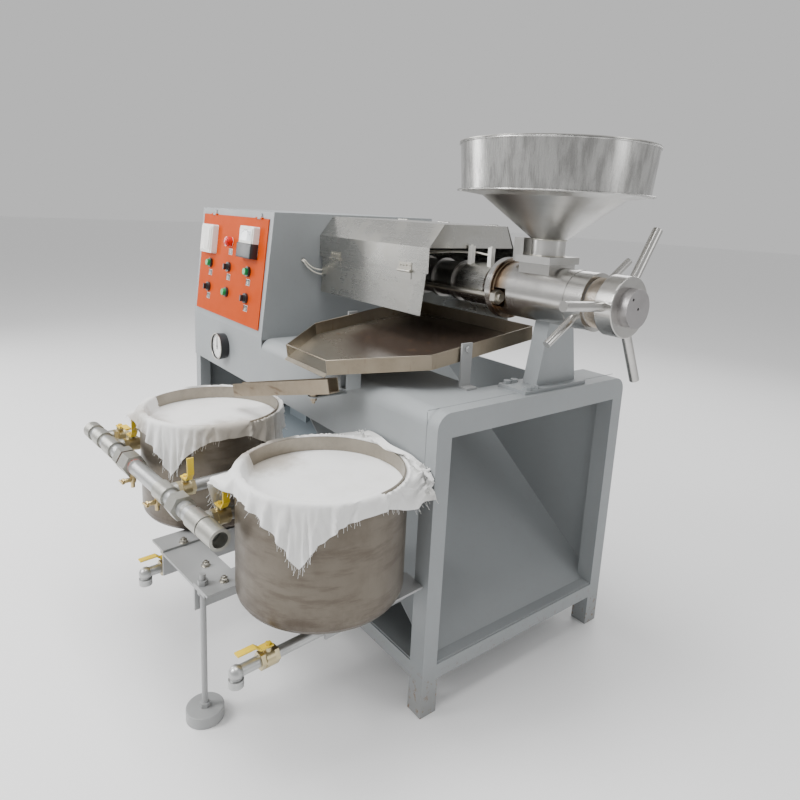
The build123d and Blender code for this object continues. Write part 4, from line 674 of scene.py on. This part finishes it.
def make_stops():
    """Helpers for the cloths to fall on: the drums, the base, and the sweep of two valve levers."""
    stops = []
    depth = 0.25
    for x in drum_x.values():
        centre = in_group(x, 0, 0)
        alone()
        bpy.ops.mesh.primitive_cylinder_add(vertices=96, radius=(drum_radius + 0.2) / 1000, depth=depth,
                                            location=(centre.x, centre.y, (rim_top + 1.5) / 1000 - depth / 2))
        stops.append(collide(bpy.context.object))
    low = at(cabinet_right, base_front, 50)
    high = at(560, 482, deck)
    spans = [(low, high, 0.0)]
    for x in (-120, -585):
        for ahead, inward in ((31, 9), (9, 31)):
            low = in_group(x - 9, -163, 472)
            spans.append((low, low + Vector((ahead + 9, inward + 9, 60)) / 1000, group_turn))
    for low, high, turn in spans:
        stop = block((low + high) / 2, high - low, (0, 0, turn))
        settle()
        stops.append(collide(stop))
    return stops


def lay_point(reach, path):
    """Radius and height in metres of the cloth's point at a reach along its path."""
    stops = [[value / 1000 for value in stop] for stop in path]
    radius, height = stops[-1][1:]
    for first, second in zip(stops, stops[1:]):
        if first[0] <= reach <= second[0]:
            share = (reach - first[0]) / (second[0] - first[0])
            radius = first[1] + share * (second[1] - first[1])
            height = first[2] + share * (second[2] - first[2])
    return radius, height


def lay_sheet(name):
    """One square cloth laid in its drum and over the hoop, with its corners still straight out."""
    alone()
    bpy.ops.mesh.primitive_grid_add(x_subdivisions=cloth_cells, y_subdivisions=cloth_cells,
                                    size=cloth_side / 1000)
    sheet = bpy.context.object
    sheet.name = name + "_sheet"
    centre = in_group(drum_x[name], 0, 0)
    turn = corner_way[name] - radians(45)
    start = sheet.shape_key_add(name="Basis")
    cut = sheet.shape_key_add(name="cut")
    held = sheet.vertex_groups.new(name="held")
    edge = held_reach / 1000
    for vertex in sheet.data.vertices:
        x, y = vertex.co.x, vertex.co.y
        across = x * cos(turn) - y * sin(turn)
        along = x * sin(turn) + y * cos(turn)
        reach = hypot(across, along)
        way = atan2(along, across)
        cut.data[vertex.index].co = (centre.x + across, centre.y + along, cloth_level / 1000)
        over_front = cos(way - radians(-66)) > 0.25
        radius, height = lay_point(reach, over_hoop if over_front else under_hoop)
        # The back corner of the near cloth stands up against the base.
        back = max(0.0, min(1.0, (sin(way) - 0.72) / 0.2))
        lift = radians(80) * back if name == "near_cloth" else 0.0
        if reach > edge:
            radius += (reach - edge) * cos(lift)
            height += (reach - edge) * sin(lift)
        place = (centre.x + radius * cos(way), centre.y + radius * sin(way), height)
        start.data[vertex.index].co = place
        vertex.co = place
        if reach < edge:
            held.add([vertex.index], 1.0, "REPLACE")
    cloth = sheet.modifiers.new("cloth", "CLOTH")
    for key, value in cloth_settings.items():
        setattr(cloth.settings, key, value)
    cloth.settings.rest_shape_key = cut
    for key, value in touch_settings.items():
        setattr(cloth.collision_settings, key, value)
    cloth.point_cache.frame_end = 60
    return sheet


def drape_cloths():
    """Drop both filter cloths over their drums, held where the hoops clamp them."""
    stops = make_stops()
    sheets = [lay_sheet(name) for name in drum_x]
    last = 45
    for moment in range(1, last + 1):
        bpy.context.scene.frame_set(moment)
    graph = bpy.context.evaluated_depsgraph_get()
    meshes = [bpy.data.meshes.new_from_object(sheet.evaluated_get(graph)) for sheet in sheets]
    for thing in stops + sheets:
        bpy.data.objects.remove(thing, do_unlink=True)
    bpy.context.scene.frame_set(1)
    return dict(zip(drum_x, meshes))


near_soil = [(at(250, -330, 540), 0.16), (at(430, -470, 470), 0.10)]
far_soil = [(at(110, -300, 540), 0.17), (at(-60, -480, 500), 0.13)]
cloth_finish = {"near_cloth": make_filter_cloth("near_canvas", near_soil),
                "far_cloth": make_filter_cloth("far_canvas", far_soil)}


def edge_points(mesh):
    """Points along the four edges of the draped grid, in order round it."""
    last = cloth_cells
    rows = [(i, 0) for i in range(last)] + [(last, i) for i in range(last)]
    rows += [(last - i, last) for i in range(last)] + [(0, last - i) for i in range(last)]
    return [mesh.vertices[row * (last + 1) + column].co.copy() for column, row in rows]


def fray(name, line, centre, rng):
    """Loose warp threads along the torn edges, most and longest near the corners."""
    curve = new_curve(name + "_threads", 0.0003, 0, False)
    curve.resolution_u = 3
    for index, start in enumerate(line):
        corner = min(index % cloth_cells, cloth_cells - index % cloth_cells)
        if rng.random() > (0.75 if corner < 14 else 0.35):
            continue
        out = Vector((start.x - centre.x, start.y - centre.y, 0)).normalized()
        along = (line[(index + 1) % len(line)] - start).normalized()
        length = rng.uniform(0.004, 0.012) * (1.7 if corner < 8 else 1.0)
        place = start - out * 0.001
        sag = Vector((0, 0, -0.8))
        step = (out * rng.uniform(0.1, 0.7) + along * rng.uniform(-0.5, 0.5) + sag) * length / 3
        places = []
        for _ in range(4):
            places.append(place)
            stray = Vector((rng.uniform(-1, 1), rng.uniform(-1, 1), -0.5)) * length * 0.06
            place = place + step + stray
        add_run(curve, "NURBS", places)
    return meshed(linked(name + "_threads", curve))


def hang_cloths():
    """Both cloths, thickened, with their frayed edges."""
    rng = random.Random(11)
    for name, mesh in drape_cloths().items():
        canvas = linked(name + "_canvas", mesh)
        line = edge_points(canvas.data)
        thick = canvas.modifiers.new("thickness", "SOLIDIFY")
        thick.thickness = cloth_thickness / 1000
        thick.offset = 0.0
        apply_all(canvas)
        finished(canvas, name + "_canvas", "frame", cloth_finish[name], 60)
        threads = fray(name, line, in_group(drum_x[name], 0, 0), rng)
        finished(threads, name + "_threads", "frame", cloth_finish[name], 0)
        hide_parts(name)


def make_floor():
    """Plain pale studio floor."""
    alone()
    bpy.ops.mesh.primitive_plane_add(size=60, location=(0, 0, -0.0005))
    floor = bpy.context.object
    floor.name = "floor"
    finish = Finish("pale_floor", roughness=0.6)
    finish.feed("Base Color", finish.mixed(finish.noise(0.6) * 0.1, (0.90, 0.90, 0.90), (0.87, 0.87, 0.87)))
    floor.data.materials.append(finish.material)


def make_lights():
    """Soft studio light: bright surround, one large key from the front left, fills and a top bank."""
    world = bpy.data.worlds.new("studio")
    bpy.context.scene.world = world
    world.use_nodes = True
    world.node_tree.nodes["Background"].inputs[0].default_value = (1.0, 1.0, 1.0, 1.0)
    world.node_tree.nodes["Background"].inputs[1].default_value = 0.64
    aim = Vector((0, 0, 0.6))
    banks = [("key", (-0.8, -3.2, 3.0), 1.4, 2.0, 150), ("side", (3.4, 1.4, 1.9), 0.9, 2.0, 16),
             ("top", (0.0, -0.4, 3.6), 2.4, 1.6, 110), ("left", (-3.2, -1.6, 1.8), 1.0, 2.4, 50),
             ("back", (-0.6, 3.2, 2.4), 2.6, 1.6, 40)]
    for name, place, wide, high, power in banks:
        lamp = bpy.data.lights.new(name, "AREA")
        lamp.shape = "RECTANGLE"
        lamp.size = wide
        lamp.size_y = high
        lamp.energy = power
        holder = linked(name, lamp)
        holder.location = place
        holder.rotation_euler = (aim - Vector(place)).to_track_quat("-Z", "Y").to_euler()


def add_tube(start, end, radius, sides=32):
    """Bar from start to end, as a cylinder that is shaped further."""
    alone()
    turn = (end - start).to_track_quat("Z", "Y").to_euler()
    bpy.ops.mesh.primitive_cylinder_add(vertices=sides, radius=radius, depth=(end - start).length,
                                        location=(start + end) / 2, rotation=turn)
    return bpy.context.object


def add_ring(centre, radius, wire, around, rotation=(0, 0, 0)):
    """Ring of round wire about a centre."""
    alone()
    bpy.ops.mesh.primitive_torus_add(major_radius=radius, minor_radius=wire, major_segments=around,
                                     minor_segments=10, location=centre, rotation=rotation)
    return bpy.context.object


def soften(piece, width, segments=2):
    """Round the sharp edges of a piece."""
    bevel = piece.modifiers.new("edges", "BEVEL")
    bevel.width = width
    bevel.segments = segments
    bevel.limit_method = "ANGLE"
    bevel.angle_limit = radians(35)
    apply_all(piece)
    return piece


def joined(pieces):
    """Several like parts as one mesh."""
    alone()
    for piece in pieces:
        piece.select_set(True)
    bpy.context.view_layer.objects.active = pieces[0]
    bpy.ops.object.join()
    return bpy.context.object


def panel_plate(x, z, wide, high, out, thick):
    """Thin block lying on the leaning panel, its back face standing out from the paint."""
    plate = block(on_panel(x, z, out + thick / 2), (wide / 1000, thick / 1000, high / 1000), (-lean, 0, 0))
    bpy.ops.object.transform_apply(location=False, rotation=False, scale=True)
    return plate


def raise_face(piece, direction, inset, height):
    """Inset the face that looks one way and push it in or out."""
    pick(piece)
    for face in piece.data.polygons:
        face.select = (piece.matrix_world.to_3x3() @ face.normal).dot(direction) > 0.9
    bpy.ops.object.mode_set(mode="EDIT")
    bpy.ops.mesh.select_mode(type="FACE")
    bpy.ops.mesh.inset(thickness=inset)
    bpy.ops.transform.translate(value=direction * height)
    bpy.ops.object.mode_set(mode="OBJECT")
    return piece


def make_label_plates():
    """Black legend plates with a pale raised border and three pale bars, below all but one control."""
    pale = moulded("label_border", (0.62, 0.60, 0.55), 0.35)
    black = moulded("label_black", (0.018, 0.018, 0.02), 0.25)
    borders = []
    plates = []
    for x, z in ((lamp_x, 896), (-623, 818), (meter_x, 818), (lamp_x, 818), (-623, 742), (meter_x, 742)):
        middle = x + 3
        borders.append(soften(panel_plate(middle, z, 27, 19, panel_face - 0.1, 1.0), 0.0004))
        plates.append(raise_face(panel_plate(middle, z, 24, 16, panel_face + 0.4, 1.0), panel_out,
                                 0.0015, -0.0003))
        for row in (3.6, 0.0, -3.6):
            bar = panel_plate(middle, z + row, 15 - abs(row), 1.1, panel_face + 0.9, 0.5)
            borders.append(soften(bar, 0.0001))
    finished(joined(plates), "label_plates", "panel", black)
    finished(joined(borders), "label_borders", "panel", pale)


def make_instrument_faces():
    """Door of the controller, scale and dark lower cover of the meter, and the lamp's red lens."""
    proud = panel_face + 20.8
    door = raise_face(panel_plate(-634, instrument_z, 78, 76, proud, 1.4), panel_out, 0.003, -0.0006)
    lid = raise_face(panel_plate(-618, instrument_z, 30, 68, proud + 0.8, 1.6), panel_out, 0.002, 0.0005)
    finished(soften(joined([door, lid]), 0.0005), "controller_door", "panel", white_plastic)
    paper = moulded("meter_paper", (0.80, 0.83, 0.86), 0.2, 0.6)
    scale = raise_face(panel_plate(meter_x, 952, 76, 30, proud, 1.2), panel_out, 0.0015, -0.0005)
    finished(soften(scale, 0.0003), "meter_scale", "panel", paper)
    cover = raise_face(panel_plate(meter_x, 909, 97.5, 43, panel_face + 0.5, 23.5), panel_out, 0.004, 0.0008)
    finished(soften(cover, 0.0008), "meter_cover", "panel", black_plastic)
    marks = []
    for step in range(13):
        angle = radians(-48 + step * 8)
        long = 5.0 if step % 3 == 0 else 2.8
        reach = 40 - long / 2
        spot = on_panel(meter_x + reach * sin(angle), 930 + reach * cos(angle), panel_face + 21.7)
        turn = (Matrix.Rotation(-lean, 3, "X") @ Matrix.Rotation(angle, 3, "Y")).to_euler()
        marks.append(block(spot, (0.0006, 0.0004, long / 1000), turn))
        settle(location=False)
    finished(joined(marks), "meter_marks", "panel", black_plastic, 0)

    def on_lamp(out):
        return on_panel(lamp_x, instrument_z, panel_face + out)

    lens = raise_face(add_tube(on_lamp(16), on_lamp(20.5), 0.0115, 40), panel_out, 0.004, 0.0022)
    soften(lens, 0.0012, 3)
    skirt = raise_face(add_tube(on_lamp(1.0), on_lamp(17.5), 0.0152, 40), panel_out, 0.0035, -0.001)
    soften(skirt, 0.001, 3)
    red = Finish("lamp_red", roughness=0.16, coat=0.6)
    depth = red.rise(red.noise(60.0, 3.0), 0.4, 0.7) * 0.4
    red.feed("Base Color", red.mixed(depth, (0.60, 0.012, 0.010), (0.34, 0.006, 0.006)))
    red.bump(red.cells(420.0), 0.0001, 0.4)
    finished(joined([lens, skirt]), "lamp_lens", "panel", red)


def make_gauge_dial():
    """White dial sunk in the gauge, with plain marks and numbers, and a polished bezel ring."""
    upright = (radians(90), 0, 0)
    alone()
    bpy.ops.mesh.primitive_cylinder_add(vertices=64, radius=0.0372, depth=0.0006,
                                        location=at(gauge_x, -118, gauge_z), rotation=upright)
    dial = raise_face(bpy.context.object, Vector((0, -1, 0)), 0.004, 0.0003)
    white = moulded("dial_white", (0.78, 0.78, 0.76), 0.35)
    finished(dial, "gauge_dial", "frame", white)
    marks = []
    for step in range(31):
        angle = radians(-135 + step * 9)
        long = 5.5 if step % 5 == 0 else 3.0
        reach = 34 - long / 2
        spot = at(gauge_x + reach * sin(angle), -118.75, gauge_z + reach * cos(angle))
        marks.append(block(spot, (0.0007, 0.0003, long / 1000), (0, angle, 0)))
    reach = 23.5
    for step in range(7):
        angle = radians(-135 + step * 45)
        alone()
        bpy.ops.object.text_add(location=at(gauge_x + reach * sin(angle), -118.6, 597.6 + reach * cos(angle)),
                                rotation=upright)
        figure = bpy.context.object.data
        figure.body = str(step)
        figure.size = 0.007
        figure.align_x = "CENTER"
        figure.extrude = 0.0001
        marks.append(meshed(bpy.context.object))
    for mark in marks:
        pick(mark)
        settle()
    finished(joined(marks), "gauge_marks", "frame", black_plastic, 0)
    ring = add_ring(at(gauge_x, -122.6, gauge_z), 0.0408, 0.0014, 72, upright)
    finished(ring, "gauge_ring", "frame", zinc_steel, 60)


def make_nose_thread():
    """Coarse thread that shows on the nose between the lock nut and the adjusting nut."""
    left = 653.6
    right = 682.4
    pitch = 3.0
    alone()
    bpy.ops.mesh.primitive_circle_add(vertices=3, radius=0.0012, rotation=(radians(90), 0, 0))
    profile = bpy.context.object
    settle(location=False)
    for vertex in profile.data.vertices:
        vertex.co.z += 0.0501
    coil = profile.modifiers.new("thread", "SCREW")
    coil.axis = "X"
    coil.angle = 2 * pi
    coil.screw_offset = pitch / 1000
    coil.iterations = int((right - left - 1) / pitch)
    coil.steps = 64
    coil.render_steps = 64
    apply_all(profile)
    profile.location = at(left + 1.6, screw_y, screw_z)
    pick(profile)
    bpy.ops.object.mode_set(mode="EDIT")
    bpy.ops.mesh.select_all(action="SELECT")
    bpy.ops.mesh.fill_holes(sides=4)
    bpy.ops.mesh.normals_make_consistent(inside=False)
    bpy.ops.object.mode_set(mode="OBJECT")
    steel = make_turned_steel("thread_steel", (0.40, 0.335, 0.26), 0.38)
    finished(profile, "nose_thread", "frame", steel)


def make_bead(name, points, width, finish, closed=False, seed=3):
    """Weld run laid along a line: a round, rippled bead."""
    rng = random.Random(seed)
    pairs = zip(points, points[1:] + points[:1]) if closed else zip(points, points[1:])
    places = []
    for start, end in pairs:
        count = max(2, int((end - start).length * 1000 / 2.4))
        places += [start.lerp(end, i / count) for i in range(count)]
    if not closed:
        places.append(points[-1])
    curve = new_curve(name, width / 1000, 2)
    line = add_run(curve, "POLY", places)
    for index, point in enumerate(line.points):
        point.radius = (1.0 if index % 2 else 0.8) * rng.uniform(0.9, 1.1)
    line.use_cyclic_u = closed
    finished(meshed(linked(name, curve)), name, "frame", finish, 60)


def make_welds():
    """Weld of the housing's flange, and of the hopper's neck at both its ends."""
    scorched = make_turned_steel("weld_steel", (0.30, 0.23, 0.16), 0.42)
    flange = [round_screw(418.2, 61.6, radians(a)) for a in range(-4, 183, 6)]
    make_bead("flange_weld", flange, 1.9, scorched, seed=5)
    neck = [round_hopper(37.2, 967.0, radians(a)) for a in range(0, 360, 8)]
    make_bead("neck_weld", neck, 1.5, zinc_steel, True, 7)
    cone = [round_hopper(37.6, 1000.5, radians(a)) for a in range(0, 360, 8)]
    make_bead("cone_weld", cone, 1.3, zinc_steel, True, 9)


def make_hopper_trim():
    """Rolled wire edge of the pan, and the fold below it."""
    for name, height, radius, wire in (("pan_rim", 1190.4, 203.4, 1.9), ("pan_fold", 1096.2, 203.1, 1.5)):
        ring = add_ring(at(hopper_x, screw_y, height), radius / 1000, wire / 1000, 128)
        finished(ring, name, "frame", hopper_steel, 60)


def tray_top(x, y):
    """Highest corner of the tray's mesh within 6 mm of a place in plan."""
    spot = at(x, y, 0)
    corners = [vertex.co for vertex in nodes["oil_tray"].data.vertices]
    near = [place for place in corners if hypot(place.x - spot.x, place.y - spot.y) < 0.006]
    return max(near, key=lambda place: place.z).copy() if near else None


def make_tray_edge():
    """Rolled safe edge along the rim of the tray's front and sides."""
    corners = [(103, -175), (285, -175), (430, -5), (442, 293), (-12, 293), (-12, -33)]
    tops = [tray_top(x, y) for x, y in corners]
    curve = new_curve("tray_edge", 0.0015, 3)
    add_run(curve, "POLY", [top for top in tops if top])
    finished(meshed(linked("tray_edge", curve)), "tray_edge", "frame", tray_steel, 60)


def make_cage_slots():
    """Gaps between the barrel's bars, seen between the heater band and the flange, as dark strips: painted
    shade inside the gaps, with lighter brown patches of seeping oil.
    """
    gaps = []
    count = 22
    radius = 44.2
    for step in range(count):
        angle = radians(step * 360 / count + 4)
        spot = at(386, screw_y - radius * sin(angle), screw_z + radius * cos(angle))
        gaps.append(soften(block(spot, (0.0225, 0.0046, 0.0012), (angle, 0, 0)), 0.0005))
    dark = Finish("oily_slot_shade", roughness=0.3, metallic=0.2)
    seep = dark.noise(70.0, 5.0)
    wet = dark.rise(seep, 0.4, 0.7)
    # Near-black is painted shade inside the gaps; the lighter brown patches are oil.
    dark.feed("Base Color", dark.mixed(wet, (0.030, 0.008, 0.008), (0.12, 0.035, 0.025)))
    dark.bump(seep, 0.0004, 0.5)
    finished(joined(gaps), "cage_slots", "frame", dark)


def make_bleed_taps():
    """Small brass bleed taps under the manifold, each with a hexagon, a stem and a T handle."""
    brass = cast("tap_brass", (0.55, 0.43, 0.22), 0.95, 0.32)
    for index, x in enumerate((-304, -442)):
        runs = [((x, -200, 441), (x, -203, 420), 0.0075, 6), ((x, -203, 424), (x, -203, 408), 0.0045, 20),
                ((x, -198, 427), (x, -224, 427), 0.0052, 20), ((x, -222, 427), (x, -226, 427), 0.0078, 6),
                ((x - 11, -228, 427), (x + 11, -228, 427), 0.0024, 16)]
        parts = []
        for start, end, radius, sides in runs:
            parts.append(soften(add_tube(in_group(*start), in_group(*end), radius, sides), 0.0007))
        finished(joined(parts), f"bleed_tap_{index + 1}", "frame", brass)


def manifold_ring(left, right, radius, rounding):
    """Short sleeve round the manifold between two places along it."""
    start = in_group(left, manifold_y, manifold_z)
    end = in_group(right, manifold_y, manifold_z)
    return soften(add_tube(start, end, radius, 40), rounding)


def make_thread_compound():
    """Red jointing compound squeezed out at the union's threads."""
    red = Finish("joint_compound", roughness=0.55)
    blots = red.noise(160.0, 5.0, 0.65)
    red.feed("Base Color", red.mixed(red.rise(blots, 0.42, 0.6), (0.34, 0.10, 0.075), (0.30, 0.27, 0.25)))
    red.bump(blots, 0.0008, 0.8)
    rings = [manifold_ring(x, x + 5, 0.0180, 0.0012) for x in (-489, -445)]
    finished(joined(rings), "thread_compound", "frame", red)


def make_pipe_threads():
    """Short lengths of bare thread where the pipes enter their fittings."""
    for index, start in enumerate((-98, -172, -640)):
        middles = [start + 3.0 * step for step in range(3)]
        turns = [manifold_ring(middle - 0.7, middle + 0.7, 0.0174, 0.0005) for middle in middles]
        finished(joined(turns), f"pipe_thread_{index + 1}", "frame", fitting_zinc)


def make_seams():
    """Ground and painted weld seams of the rounded corner, in two stretches on top and one in front."""
    top = deck + 0.1
    front = base_front - 0.1
    runs = [[at(527, base_front + 1, top), at(527, 154, top)], [at(527, 369, top), at(527, 509, top)],
            [at(527, front, deck - 3), at(527, front, deck - 148)]]
    for index, run in enumerate(runs):
        make_bead(f"corner_seam_{index + 1}", run, 0.8, grey_paint, seed=20 + index)


def make_bridge_bolts():
    """Zinc bolts with washers that hold the bridge plate to the arms."""
    bolts = []
    for x, y, z in ((-132, -141, 304), (-213, -141, 299), (-322, -141, 304)):
        for low, high, radius, sides, rounding in ((0, 1.6, 0.0095, 32, 0.0003), (1.6, 8, 0.0082, 6, 0.0007),
                                                   (8, 12, 0.0040, 24, 0.0006)):
            part = add_tube(in_group(x, y, z + low), in_group(x, y, z + high), radius, sides)
            bolts.append(soften(part, rounding))
    finished(joined(bolts), "bridge_bolts", "frame", zinc_steel)


hang_cloths()
make_floor()
make_lights()
make_label_plates()
make_instrument_faces()
make_gauge_dial()
make_nose_thread()
make_welds()
make_hopper_trim()
make_tray_edge()
make_cage_slots()
make_bleed_taps()
make_thread_compound()
make_pipe_threads()
make_seams()
make_bridge_bolts()
